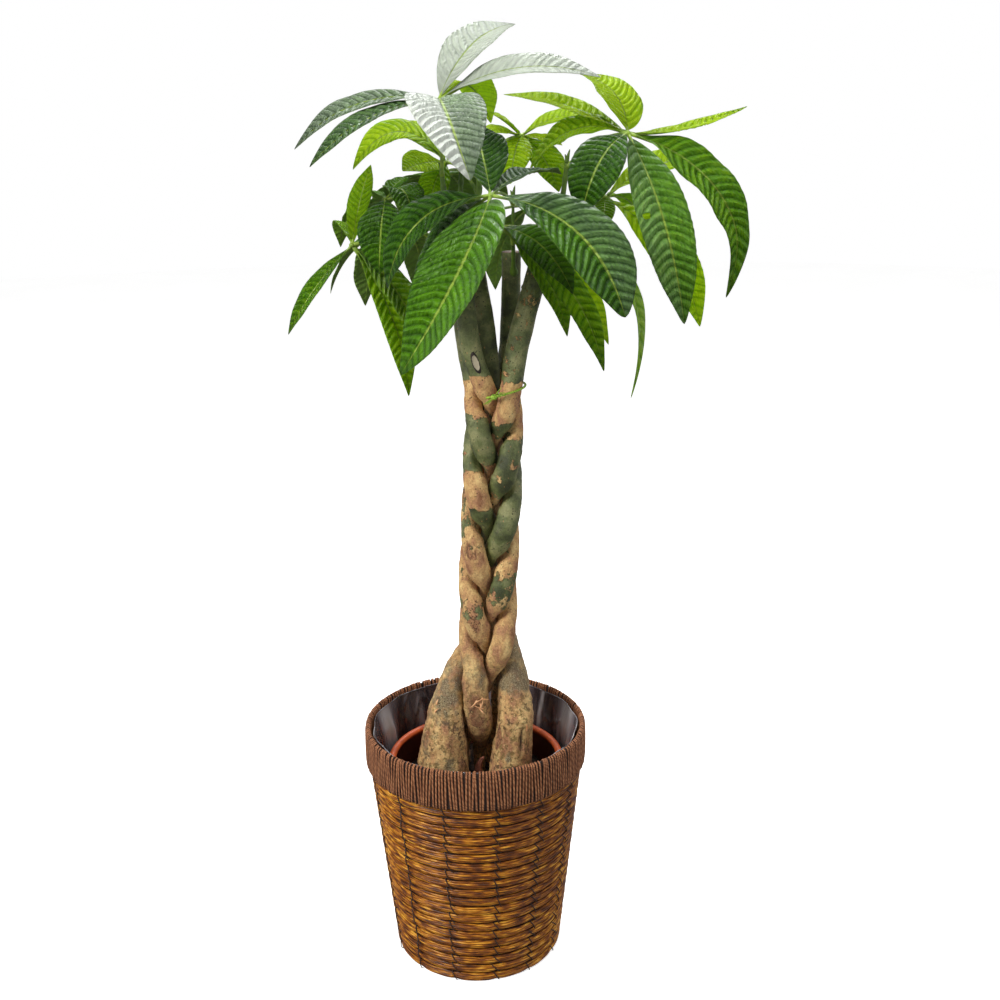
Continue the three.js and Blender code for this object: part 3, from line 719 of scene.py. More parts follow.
@dataclass(frozen=True)
class FilmFinish:
    """Grey see-through film with folds and creases, coloured with painted shade, sheen and glints and
    painted reflections.
    """

    shade: tuple = seen(62, 50, 52)
    sheen: tuple = seen(146, 138, 144)
    glint: tuple = seen(238, 238, 242)
    clearness: float = 0.25

    def build(self) -> Material:
        """Sets up the finish's nodes.

        Returns:
            The material.
        """
        sketch = NodeSketch.start("creased_film")
        place = sketch.place()
        folds = sketch.noise(sketch.scaled(place, 1.0, 1.0, 0.2), 30.0, 1.0, 0.4)
        creases = sketch.cells(sketch.scaled(place, 1.0, 1.0, 0.3), 26.0, "DISTANCE_TO_EDGE")
        crease = sketch.fitted(creases, 0.0, 0.05, 0.35, 0.0)
        height = sketch.math("ADD", folds, crease)
        # Painted light: the folds run from painted shade to painted sheen and glint, and painted reflections
        # lighten chosen flats.
        tone = sketch.math("ADD", folds, sketch.painted("painted_reflection"))
        colour = sketch.ramp(tone, [(0.4, self.shade), (0.68, self.sheen), (1.0, self.glint)])
        shader = sketch.surface(
            Base_Color=colour, Roughness=0.16, Alpha=1.0 - self.clearness,
            Normal=sketch.bump(height, 0.006, 0.8), Coat_Weight=0.5, Coat_Roughness=0.06,
        )
        return sketch.finish(shader)


@dataclass(frozen=True)
class PotFinish:
    """Moulded plastic in the colour of fired clay, satin outside, with painted shade on the inner wall."""

    fresh: tuple = seen(208, 92, 36)
    dusty: tuple = seen(164, 70, 30)
    inner_shade_colour: tuple = seen(66, 22, 11)

    def build(self) -> Material:
        """Sets up the finish's nodes.

        Returns:
            The material.
        """
        sketch = NodeSketch.start("clay_plastic")
        place = sketch.place()
        dust = sketch.noise(place, 45.0, 6.0, 0.65)
        grain = sketch.noise(place, 900.0, 2.0)
        clay = sketch.ramp(dust, [(0.38, self.dusty), (0.6, self.fresh)])
        shader = sketch.surface(
            # The inner wall takes the dark colour as painted shade.
            Base_Color=sketch.blend(sketch.painted("inner_shade"), clay, self.inner_shade_colour),
            Roughness=sketch.spread(dust, 0.55, 0.34),
            Normal=sketch.bump(grain, 0.0001, 0.6),
        )
        return sketch.finish(shader)


@dataclass(frozen=True)
class SoilFinish:
    """Dark crumbly potting mix with paler fibres in it."""

    wet: tuple = seen(20, 12, 8)
    dry: tuple = seen(58, 40, 27)

    def build(self) -> Material:
        """Sets up the finish's nodes.

        Returns:
            The material.
        """
        sketch = NodeSketch.start("potting_mix")
        place = sketch.place()
        crumb = sketch.noise(place, 260.0, 6.0, 0.7)
        lump = sketch.cells(place, 190.0)
        tone = sketch.math("MULTIPLY", crumb, sketch.fitted(lump, 0.0, 0.6, 1.2, 0.7))
        shader = sketch.surface(
            Base_Color=sketch.ramp(tone, [(0.34, self.wet), (0.72, self.dry)]),
            Roughness=0.95,
            Specular_IOR_Level=0.15,
            Normal=sketch.bump(crumb, 0.003, 0.9),
        )
        return sketch.finish(shader)


@dataclass(frozen=True)
class BarkFinish:
    """Bark: grey-green skin, tan cork, pits, dots, peeling strips, grey patches, painted shade in recesses.
    """

    deep_green: tuple = seen(58, 64, 32)
    moss_green: tuple = seen(94, 102, 56)
    grey_green: tuple = seen(134, 134, 88)
    olive: tuple = seen(112, 94, 48)
    tan: tuple = seen(186, 145, 94)
    gold: tuple = seen(220, 186, 126)
    pink: tuple = seen(170, 124, 88)
    rust: tuple = seen(132, 88, 56)
    grey: tuple = seen(100, 92, 70)
    pale_grey: tuple = seen(180, 168, 132)
    # Dark: the bark's own dark specks and raw wood, and painted shade in recesses.
    dark: tuple = seen(36, 28, 18)
    foot_height: float = 0.38
    foot_fade: float = 0.07

    def build(self) -> Material:
        """Sets up the finish's nodes.

        Returns:
            The material.
        """
        sketch = NodeSketch.start("money_tree_bark")
        place = sketch.place()
        cloud = sketch.noise(place, 42.0, 5.0, 0.6)
        blotch = sketch.noise(place, 100.0, 4.0, 0.6)
        grain = sketch.noise(place, 520.0, 4.0, 0.7)
        rings = sketch.noise(sketch.scaled(place, 60.0, 60.0, 280.0), 1.0, 3.0)
        edge = sketch.math("ADD", sketch.painted("cork"), sketch.spread(grain, -0.08, 0.08))
        edge = sketch.math("ADD", edge, sketch.spread(blotch, -0.24, 0.24))
        corky = sketch.fitted(edge, 0.47, 0.53, 0.0, 1.0)
        peel = sketch.math("ADD", sketch.painted("peel"), sketch.spread(cloud, -0.4, 0.4))
        peeling = sketch.fitted(peel, 0.42, 0.6, 0.0, 1.0)
        green, warts = self.green_skin(sketch, place, cloud, grain)
        cork = self.cork_skin(sketch, place, cloud, grain, peeling)
        colour = sketch.blend(corky, green, cork)
        old = sketch.math("ADD", sketch.painted("age"), sketch.spread(blotch, -0.35, 0.35))
        speckle = sketch.noise(place, 800.0, 3.0, 0.7)
        grey = sketch.ramp(speckle, [(0.34, self.dark), (0.52, self.grey), (0.7, self.pale_grey)])
        colour = sketch.blend(sketch.fitted(old, 0.36, 0.8, 0.0, 0.82), colour, grey)
        pits = sketch.cells(sketch.scaled(place, 1.0, 1.0, 0.8), 260.0)
        pitted = sketch.fitted(cloud, 0.46, 0.56, 0.0, 0.85)
        pit = sketch.math("MULTIPLY", sketch.fitted(pits, 0.12, 0.2, 1.0, 0.0), pitted)
        cracks = sketch.cells(sketch.scaled(place, 1.0, 1.0, 0.4), 170.0, "DISTANCE_TO_EDGE")
        cracked = sketch.fitted(peeling, 0.0, 1.0, 0.0, 0.7)
        crack = sketch.math("MULTIPLY", sketch.fitted(cracks, 0.0, 0.07, 1.0, 0.0), cracked)
        # Painted shade: pits, cracks and sunk patches are darkened, partly the bark's own dark, partly shade
        # in these recesses.
        hollow_and_shade = sketch.math("MAXIMUM", sketch.math("MAXIMUM", pit, crack), sketch.painted("hollow_and_shade"))
        colour = sketch.blend(hollow_and_shade, colour, self.dark)
        raw_wood = sketch.ramp(grain, [(0.4, self.dark), (0.65, self.rust)])
        colour = sketch.blend(sketch.painted("cut"), colour, raw_wood)
        height = sketch.math("ADD", sketch.math("MULTIPLY", warts, 0.4), sketch.math("MULTIPLY", corky, 0.6))
        height = sketch.math("ADD", height, sketch.math("MULTIPLY", rings, 0.5))
        height = sketch.math("SUBTRACT", height, hollow_and_shade)
        rough_grain = sketch.bump(grain, 0.0013, 0.8)
        normal = sketch.bump(height, 0.0014, 0.9, rough_grain)
        rough = sketch.fitted(edge, 0.4, 0.6, 0.5, 0.78)
        return sketch.finish(sketch.surface(Base_Color=colour, Roughness=rough, Normal=normal))

    def green_skin(
        self, sketch: NodeSketch, place: Socket, cloud: Socket, grain: Socket,
    ) -> tuple[Socket, Socket]:
        """Living bark with pale dots.

        Args:
            sketch: the material's nodes.
            place: the point on the bark.
            cloud: broad noise.
            grain: fine noise.

        Returns:
            The colour, and how far a place lies on a dot.
        """
        stops = [(0.36, self.deep_green), (0.5, self.moss_green), (0.63, self.grey_green)]
        dots = sketch.cells(sketch.scaled(place, 1.0, 1.0, 0.62), 150.0)
        warts = sketch.fitted(dots, 0.07, 0.13, 0.7, 0.0)
        skin = sketch.blend(0.6, sketch.ramp(cloud, stops), grain, "OVERLAY")
        return sketch.blend(warts, skin, self.tan), warts

    def cork_skin(
        self, sketch: NodeSketch, place: Socket, cloud: Socket, grain: Socket, peeling: Socket,
    ) -> Socket:
        """Dry cork, golden to brown, olive and speckled on the swollen feet.

        Args:
            sketch: the material's nodes.
            place: the point on the bark.
            cloud: broad noise.
            grain: fine noise.
            peeling: how far the cork peels at a place.

        Returns:
            The colour.
        """
        height = sketch.add("SeparateXYZ", {0: place}).outputs["Z"]
        low = self.foot_height - self.foot_fade
        high = self.foot_height + self.foot_fade
        foot = sketch.fitted(height, low, high, 1.0, 0.0)
        tone = sketch.noise(sketch.scaled(place, 1.0, 1.0, 0.55), 75.0, 4.0, 0.6)
        cork = sketch.ramp(tone, [(0.3, self.rust), (0.4, self.pink), (0.5, self.tan), (0.66, self.gold)])
        cork = sketch.blend(0.85, cork, grain, "OVERLAY")
        moss = sketch.noise(place, 190.0, 5.0, 0.7)
        mossy = sketch.math("MULTIPLY", sketch.fitted(moss, 0.5, 0.58, 0.0, 0.8), foot)
        cork = sketch.blend(mossy, cork, sketch.ramp(cloud, [(0.4, self.dark), (0.52, self.olive)]))
        specks = sketch.fitted(sketch.cells(place, 230.0), 0.14, 0.24, 1.0, 0.0)
        speckled = sketch.math("MULTIPLY", specks, sketch.math("MULTIPLY", foot, 0.7))
        cork = sketch.blend(speckled, cork, self.gold)
        return sketch.blend(peeling, cork, sketch.ramp(grain, [(0.42, self.rust), (0.6, self.pink)]))


@dataclass(frozen=True)
class ScarFinish:
    """Leaf scar: a dark raised lip round a pale dry patch."""

    lip: tuple = seen(38, 30, 24)
    dry: tuple = seen(168, 158, 134)

    def build(self) -> Material:
        """Sets up the finish's nodes.

        Returns:
            The material.
        """
        sketch = NodeSketch.start("leaf_scar")
        grain = sketch.noise(sketch.place(), 700.0, 3.0)
        ring = sketch.math("ADD", sketch.painted("lip"), sketch.spread(grain, -0.2, 0.2))
        shader = sketch.surface(
            Base_Color=sketch.blend(sketch.fitted(ring, 0.4, 0.6, 0.0, 1.0), self.dry, self.lip),
            Roughness=0.85,
            Normal=sketch.bump(grain, 0.0005, 0.7),
        )
        return sketch.finish(shader)


@dataclass(frozen=True)
class GreenSkinFinish:
    """Smooth green skin of shoots, stalks, midribs and twine."""

    name: str
    shade: tuple
    light: tuple
    rough: float = 0.42
    grain: float = 90.0

    def build(self) -> Material:
        """Sets up the finish's nodes.

        Returns:
            The material.
        """
        sketch = NodeSketch.start(self.name)
        cloud = sketch.noise(sketch.place(), self.grain, 4.0)
        fine = sketch.noise(sketch.scaled(sketch.place(), 1.0, 1.0, 0.15), 1500.0, 2.0)
        shader = sketch.surface(
            Base_Color=sketch.ramp(cloud, [(0.34, self.shade), (0.64, self.light)]),
            Roughness=sketch.spread(cloud, self.rough + 0.1, self.rough - 0.06),
            Normal=sketch.bump(fine, 0.0002, 0.5),
        )
        return sketch.finish(shader)


class BladeSide(Enum):
    """The two faces of a leaflet."""

    UPPER = "upper"
    UNDER = "under"


@dataclass(frozen=True)
class LeafFinish:
    """Leaf skin, coloured by its age, with painted shade in the side veins' grooves, a painted sheen, and
    veins pressed in.
    """

    side: BladeSide
    old: tuple = seen(30, 70, 8)
    grown: tuple = seen(84, 136, 14)
    young: tuple = seen(144, 188, 18)
    fresh: tuple = seen(202, 230, 44)
    # Colour of the painted sheen, a whitish reflection laid on the skin.
    painted_sheen: tuple = seen(212, 218, 208)
    vein: tuple = seen(158, 184, 74)
    under_wash: tuple = seen(146, 172, 92)
    vein_depth: float = 0.003
    least_through: float = 0.08
    most_through: float = 0.52

    def build(self) -> Material:
        """Sets up the finish's nodes.

        Returns:
            The material.
        """
        upper = self.side is BladeSide.UPPER
        sketch = NodeSketch.start("leaf_" + self.side.value)
        blade = sketch.uv()
        parts = sketch.add("SeparateXYZ", {0: blade})
        across = sketch.math("ABSOLUTE", sketch.math("SUBTRACT", parts.outputs["Y"], 0.5))
        beat = sketch.math("PINGPONG", parts.outputs["X"], 0.5)
        mottle = sketch.noise(sketch.place(), 42.0, 5.0)
        cross_wrinkle = sketch.noise(sketch.scaled(blade, 1.1, 17.0), 1.0, 3.0)
        age = sketch.math("ADD", sketch.painted("tone"), sketch.spread(mottle, -0.09, 0.09))
        # Painted shade and highlight: the skin darkens towards the old colour in the side veins' grooves and
        # lightens on the crests.
        crest = sketch.fitted(beat, 0.02, 0.26, 0.0, 1.0)
        shine = sketch.math("MULTIPLY", crest, sketch.fitted(cross_wrinkle, 0.35, 0.65, 0.4, 1.0))
        age = sketch.math("ADD", age, sketch.fitted(shine, 0.0, 1.0, -0.2, 0.08))
        stops = [(0.0, self.old), (0.36, self.grown), (0.74, self.young), (1.0, self.fresh)]
        colour = sketch.ramp(age, stops)
        # Painted sheen: the skin turns whitish where the leaflet's painted sheen is laid.
        colour = sketch.blend(self.sheen_cover(sketch, shine), colour, self.painted_sheen)
        rib = sketch.fitted(across, 0.012, 0.028, 1.0, 0.0)
        side_vein = sketch.fitted(beat, 0.0, 0.025, 0.25, 0.0)
        lines = sketch.math("MAXIMUM", rib, side_vein)
        colour = sketch.blend(sketch.math("MULTIPLY", lines, 0.8), colour, self.vein)
        if not upper:
            colour = sketch.blend(sketch.fitted(mottle, 0.2, 0.8, 0.35, 0.55), colour, self.under_wash)
        pillow = sketch.math("POWER", sketch.math("MULTIPLY", beat, 2.0), 0.85)
        relief = sketch.math("ADD", pillow, sketch.spread(cross_wrinkle, -0.4, 0.4))
        relief = sketch.math("SUBTRACT", relief, sketch.math("MULTIPLY", rib, 0.5))
        normal = sketch.bump(relief, self.vein_depth if upper else -0.4 * self.vein_depth)
        dull, glossy = (0.38, 0.28) if upper else (0.62, 0.5)
        shader = sketch.surface(
            Base_Color=colour,
            Roughness=sketch.spread(mottle, dull, glossy),
            Specular_IOR_Level=0.28 if upper else 0.15,
            Normal=normal,
        )
        lit = sketch.ramp(age, [(0.0, self.grown), (0.6, self.young), (1.0, self.fresh)])
        glow = sketch.add("BsdfTranslucent", {
            "Color": sketch.blend(sketch.fitted(lines, 0.0, 1.0, 0.0, 0.4), lit, self.vein),
            "Normal": normal,
        })
        share = sketch.fitted(sketch.painted("tone"), 0.3, 0.9, self.least_through, self.most_through)
        mixed = sketch.add("MixShader", {0: share, 1: shader.outputs[0], 2: glow.outputs[0]})
        return sketch.finish(mixed)

    def sheen_cover(self, sketch: NodeSketch, crest: Socket) -> Socket:
        """Lays the painted sheen: on the crests between the veins where it is weak, all over where it is
        strong.

        Args:
            sketch: the material's nodes.
            crest: how high a place lies between two side veins.

        Returns:
            How much of the skin is painted pale as sheen.
        """
        painted_sheen = sketch.painted("painted_sheen")
        thin = sketch.math("MULTIPLY", painted_sheen, sketch.fitted(crest, 0.0, 1.0, 0.3, 1.0))
        thick = sketch.fitted(painted_sheen, 0.55, 1.0, 0.0, 0.94)
        return sketch.math("MAXIMUM", thin, thick)


@dataclass(frozen=True)
class FloorFinish:
    """Pale matt studio floor that glows a little, with the faintest unevenness."""

    pale: tuple = seen(246, 246, 246)
    shade: tuple = seen(240, 240, 239)
    glow: float = 0.72

    def build(self) -> Material:
        """Sets up the finish's nodes.

        Returns:
            The material.
        """
        sketch = NodeSketch.start("studio_floor")
        cloud = sketch.noise(sketch.place(), 3.0, 3.0)
        shader = sketch.surface(
            Base_Color=sketch.ramp(cloud, [(0.3, self.shade), (0.7, self.pale)]), Roughness=0.9,
            Emission_Color=(1.0, 1.0, 1.0, 1.0), Emission_Strength=self.glow,
        )
        return sketch.finish(shader)


# Handing pieces over


def hand_over(piece: Piece, slot: str, *nodes: str, skin: Material | None = None) -> None:
    """Dresses a finished piece, hangs it on the body and hides the solids that it stands for.

    Args:
        piece: the finished object.
        slot: not used.
        nodes: the solids that it stands for.
        skin: its material, if it isn't dressed yet.
    """
    if skin is not None:
        dress(piece, skin)
    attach(piece, BODY)
    if nodes:
        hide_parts(*nodes)
    triangles = sum(len(face.vertices) - 2 for face in piece.data.polygons)
    log.info("%s: %d triangles", piece.name, triangles)


def dress(piece: Piece, *materials: Material) -> None:
    """Gives a piece its materials.

    Args:
        piece: the mesh object.
        materials: one for each of its slots, in order.
    """
    piece.data.materials.clear()
    for material in materials:
        piece.data.materials.append(material)


# Basket


@dataclass
class Basket:
    """Basket of coiled straw, stitched in slanting columns."""

    base_radius: float = 101.5
    neck_radius: float = 128.0
    neck_height: float = 246.0
    top_height: float = 292.0
    neck_wall: float = 0.8
    floor: float = 7.0
    wall: float = 5.0
    bulge: float = 2.4
    rows: int = 20
    stalks: int = 4
    stalk_radius: float = 1.62
    row_gap: float = 2.0
    columns: tuple[float, ...] = (-45, -17, 11, 36, 61, 89, 118, 146, 174, 202, 230, 259, 287)
    ring_faces: int = 150
    stitch_width: float = 1.7
    stitch_lean: float = 8.0
    pinch_width: float = 7.0
    under: float = 1.5

    @property
    def pitch(self) -> float:
        """Height of one row."""
        return self.neck_height / self.rows

    def radius(self, z: Points | float) -> Points | float:
        """Radius of the rows' crests at a height."""
        return self.base_radius + (self.neck_radius - self.base_radius) * z / self.neck_height

    def pinch(self, angle: Points) -> Points:
        """Works out how tightly the stitches draw a row in.

        Args:
            angle: places round the basket.

        Returns:
            One share for each place, from 0 to 1.
        """
        places = np.radians(np.array(self.columns) - 90)[:, None]
        off = np.abs((angle - places + math.pi) % math.tau - math.pi).min(axis=0)
        return np.exp(-((off * self.neck_radius / self.pinch_width) ** 2))

    def stalk(self, row: int, place_in_row: int) -> Piece:
        """Makes one straw, as a closed ring that wanders a little.

        Args:
            row: its row, counted from below.
            place_in_row: its place in the row, counted from below.

        Returns:
            The straw.
        """
        share = (place_in_row + 0.5) / self.stalks * 2 - 1
        middle = (row + 0.5) * self.pitch
        seed = row * self.stalks + place_in_row

        def place(u: Points, v: Points) -> Points:
            """Points of the straw's skin."""
            angle = math.tau * u
            circle = polar(1.0, angle, np.full_like(angle, seed * 1.37))
            drift = soft_noise(circle * (6, 6, 1), 1.0, seed)
            swell = soft_noise(circle * (9, 9, 1), 1.0, seed + 500)
            pinch = self.pinch(angle)
            row_wave = soft_noise(circle * (2.5, 2.5, 0) + (0, 0, row), 1.0, 77)
            half = (self.pitch - self.row_gap) / 2
            z = middle + 0.5 * row_wave + share * half * (1 - 0.2 * pinch) + 0.42 * drift
            depth = self.bulge * (0.8 * share**2 + 0.3 * pinch) + 0.3 * (1 + swell)
            radius = self.stalk_radius * (1 + 0.14 * swell)
            turn = math.tau * v
            out = self.radius(z) - depth - radius + radius * np.cos(turn)
            return polar(out, angle, z + radius * np.sin(turn))

        ring = bent_grid("stalk", self.ring_faces, 5, place, closed=True)
        stretch_uv(ring, math.tau * self.radius(middle))
        shift_uv(ring, 0.0, seed)
        return ring

    def underside(self) -> list[Piece]:
        """Makes the flat coil under the basket.

        Returns:
            Its rings, from the middle outwards.
        """
        rings = []
        pitch = 2 * self.floor / 1.6
        count = int((self.base_radius - self.bulge) / pitch)
        for i in range(count):
            radius = (i + 0.6) * pitch
            deselect_all()
            bpy.ops.mesh.primitive_torus_add(
                major_radius=radius * MM, minor_radius=self.floor / 2 * MM,
                major_segments=max(20, 6 * i + 16), minor_segments=8, location=(0, 0, self.floor / 2 * MM),
            )
            bpy.ops.object.transform_apply(location=True, rotation=False, scale=False)
            ring = bpy.context.object
            stretch_uv(ring, math.tau * radius)
            shift_uv(ring, 0.0, 300.0 + i)
            bpy.ops.object.shade_smooth()
            rings.append(ring)
        return rings

    def straw(self) -> Piece:
        """All the straw rings in one mesh."""
        rings = [self.stalk(row, i) for row in range(self.rows) for i in range(self.stalks)]
        return joined("basket_straw", rings + self.underside())

    def core(self) -> Piece:
        """Turns the dark wall behind the straw.

        Returns:
            The wall, with its floor and the neck that the rim band is wound on.
        """
        skin = self.bulge + 1.2
        neck = self.neck_radius + self.neck_wall
        outline = [
            (0.0, self.under),
            (self.base_radius - skin - 1.0, self.under),
            (self.radius(self.neck_height) - skin, self.neck_height),
            (neck, self.neck_height + 4),
            (neck, self.top_height),
            (self.neck_radius, self.top_height),
            (self.neck_radius, self.neck_height + 10),
            (self.neck_radius - self.wall, self.neck_height),
            (self.radius(self.floor) - self.bulge - self.wall, self.floor),
            (0.0, self.floor),
        ]
        return turned("basket_core", outline, 96)

    def stitches(self) -> Piece:
        """Lays a slanting stitch over every row at every column.

        Returns:
            All the stitches in one mesh.
        """
        half = self.pitch / 2 + 0.6
        flare = math.atan2(self.neck_radius - self.base_radius, self.neck_height)

        def place(u: Points, v: Points) -> Points:
            """Points of one stitch, with its middle at the front."""
            up = 1 - 2 * u
            turn = math.tau * v
            sideways = -self.stitch_lean * up / 2 + self.stitch_width / 2 * np.cos(turn)
            out = 0.35 - 2.6 * np.abs(up) ** 2.6 + 0.55 * np.sin(turn)
            return np.stack([sideways, -out, half * up], axis=1)

        template = bent_grid("stitch", 6, 6, place, closed=True)
        draw = np.random.default_rng(11)
        copies = []
        for row in range(self.rows):
            z = (row + 0.5) * self.pitch
            radius = self.radius(z) - 0.55
            for column in self.columns:
                turn = math.radians(column + draw.normal(0, 0.55))
                tilt = Matrix.Rotation(-flare, 4, "X")
                sway = Matrix.Rotation(draw.normal(0, 0.12), 4, "Y")
                move = Matrix.Translation((0, -radius * MM, (z + draw.normal(0, 0.3)) * MM))
                stitch = copy_of(template, "stitch")
                stitch.data.transform(Matrix.Rotation(turn, 4, "Z") @ move @ tilt @ sway)
                copies.append(stitch)
        discard(template)
        stitches = joined("basket_stitches", copies)
        points = read_points(stitches) / MM
        points[:, 2] = np.maximum(points[:, 2], 0.4)
        write_points(stitches, points)
        return stitches

    def build(self) -> None:
        """Makes and dresses the basket."""
        shade = PlainFibreFinish("straw_in_shade", seen(24, 12, 6), seen(52, 28, 11))
        cane = PlainFibreFinish("dark_cane", seen(28, 13, 6), seen(66, 34, 14), 0.5)
        hand_over(self.straw(), "straw", "basket", skin=StrawFinish().build())
        hand_over(self.core(), "straw", skin=shade.build())
        hand_over(self.stitches(), "straw", skin=cane.build())


@dataclass
class RimBand:
    """Twisted paper cord wound over the rim, turn beside turn."""

    turns: int = 215
    cord_radius: float = 1.66
    gaps: tuple[float, ...] = (-31.0, -14.5, 1.5, 3.5, 52.0, 120.0, 171.0, 236.0)
    gap_width: float = 1.2
    gap_reach: float = 3.0
    mean_radius: float = 130.0
    hinge_height: float = 270.0
    core_outline: Stops = (
        (129.0, 248.0), (130.0, 249.0), (130.0, 290.0), (129.0, 293.0), (127.2, 293.0), (126.6, 290.0),
        (126.6, 263.0), (127.4, 263.0), (127.6, 291.6), (129.0, 291.6),
    )
    wound: Stops = (
        (126.0, 262.5), (126.1, 275.0), (126.2, 288.0), (126.7, 292.6), (128.2, 294.6), (129.6, 293.4),
        (130.4, 289.5), (130.7, 281.0), (130.8, 268.0), (130.6, 256.0), (130.1, 250.0), (128.6, 247.4),
    )

    def template(self) -> Piece:
        """One turn of cord, in the plane that looks towards -Y."""
        path = np.array([(0.0, -radius, z) for radius, z in self.wound])
        return tube("cord", path, self.cord_radius, 6)

    def cords(self) -> Piece:
        """Winds all turns of the cord, each a little off its place.

        Returns:
            The turns in one mesh.
        """
        template = self.template()
        draw = np.random.default_rng(5)
        width = math.degrees(self.gap_width / self.mean_radius)
        lift = Matrix.Translation((0, 0, self.hinge_height * MM))
        drop = Matrix.Translation((0, 0, -self.hinge_height * MM))
        copies = []
        for i in range(self.turns):
            base = i * (360 / self.turns)
            nudge = 0.0
            for gap in self.gaps:
                off = (base - gap + 180) % 360 - 180
                nudge += math.copysign(width / 2, off) * math.exp(-abs(off) / self.gap_reach)
            circle = np.array([[math.cos(math.radians(base)), math.sin(math.radians(base)), 0.3]])
            lean = 0.011 * float(soft_noise(circle * 14, 1.0, 3)[0]) + draw.normal(0, 0.0025)
            turn = Matrix.Rotation(math.radians(base + nudge + draw.normal(0, 0.07)), 4, "Z")
            tilt = lift @ Matrix.Rotation(lean * 8, 4, "Y") @ drop
            swell = Matrix.Translation((0, draw.normal(0, 0.16) * MM, draw.normal(0, 0.2) * MM))
            cord = copy_of(template, "cord")
            cord.data.transform(turn @ swell @ tilt)
            shift_uv(cord, draw.uniform(0, 40), i)
            copies.append(cord)
        discard(template)
        return joined("rim_band_cord", copies)

    def build(self) -> None:
        """Makes and dresses the band."""
        shade = PlainFibreFinish("cord_in_shade", seen(34, 19, 12), seen(58, 34, 22))
        hand_over(self.cords(), "cord", "rim_band", skin=CordFinish().build())
        hand_over(turned("rim_band_core", self.core_outline, 96), "cord", skin=shade.build())


@dataclass
class FilmLiner:
    """Creased film standing up inside the rim."""

    foot_radius: float = 92.6
    foot_height: float = 7.5
    bend_radius: float = 117.4
    top_radius: float = 123.4
    bend_height: float = 262.0
    top_height: float = 290.6
    corners: int = 13
    fold: float = 2.8
    thickness: float = 0.25
    # Painted reflections on flats: the side in degrees, half its width, and how strong.
    painted_reflections: tuple[tuple[float, float, float], ...] = (
        (18.0, 9.0, 0.42), (158.0, 9.0, 0.3), (44.0, 1.4, 0.4), (118.0, 3.0, 0.12),
    )

    def radius(self, angle: Points, z: Points) -> Points:
        """Works out the film's radius: flats between folds, and creases that deepen downwards.

        Args:
            angle: places round the film.
            z: their heights.

        Returns:
            One radius for each place.
        """
        circle = polar(1.0, angle, z / 90)
        turn = (angle / math.tau) % 1.0
        wander = 0.16 * soft_noise(circle * (3, 3, 0), 1.0, 9)
        flat = np.abs(((turn * self.corners + wander) % 1.0) * 2 - 1)
        base = np.interp(z, [self.foot_height, self.bend_height, self.top_height],
                         [self.foot_radius, self.bend_radius, self.top_radius])
        below = np.clip((self.top_height - z) / 40, 0, 1)
        folds = 1 - np.abs(soft_noise(circle * (16, 16, 1), 1.0, 4))
        crumple = 1 - np.abs(soft_noise(circle * (26, 26, 5), 1.0, 15))
        return base - self.fold * (1 - flat) - below * (3.2 * folds**3 + 1.4 * crumple**3)

    def sheet(self) -> Piece:
        """Makes the upright film.

        Returns:
            The film, with its thickness.
        """
        def place(u: Points, v: Points) -> Points:
            """Points of the film."""
            angle = math.tau * v
            z = mix(self.foot_height, self.top_height, 1 - (1 - u) ** 1.8)
            ragged = 0.5 * soft_noise(np.stack([angle * 4, angle, u], axis=1), 1.0, 2)
            z = z + np.where(u > 0.99, ragged, 0)
            return polar(self.radius(angle, z), angle, z)

        def painted_reflection(u: Points, v: Points) -> Points:
            """How much the painted reflections lighten the flats between the folds."""
            total = np.zeros_like(u)
            for degrees, half, strength in self.painted_reflections:
                off = (360 * v - degrees + 180) % 360 - 180
                total += strength * np.clip(1.5 - np.abs(off) / half, 0, 1)
            return total * np.clip((u - 0.5) * 4, 0, 1)

        film = bent_grid("liner_film", 40, 300, place, True, {"painted_reflection": painted_reflection})
        thicken(film, self.thickness)
        return film

    def hem(self) -> Piece:
        """Makes the film's turned-over top edge, which catches the light.

        Returns:
            The edge.
        """
        count = 240
        angle = math.tau * np.arange(count) / count
        z = np.full(count, self.top_height - 0.2)
        r = self.radius(angle, z) - 0.4
        return tube("liner_hem", polar(r, angle, z), 0.5, 6, loop=True)

    def build(self) -> None:
        """Makes and dresses the liner."""
        # The hem's paler colours are a painted highlight along the film's top edge.
        bright = FilmFinish(seen(96, 90, 94), seen(206, 204, 208), clearness=0.1)
        hand_over(self.sheet(), "film", "liner", skin=FilmFinish().build())
        hand_over(self.hem(), "film", skin=bright.build())


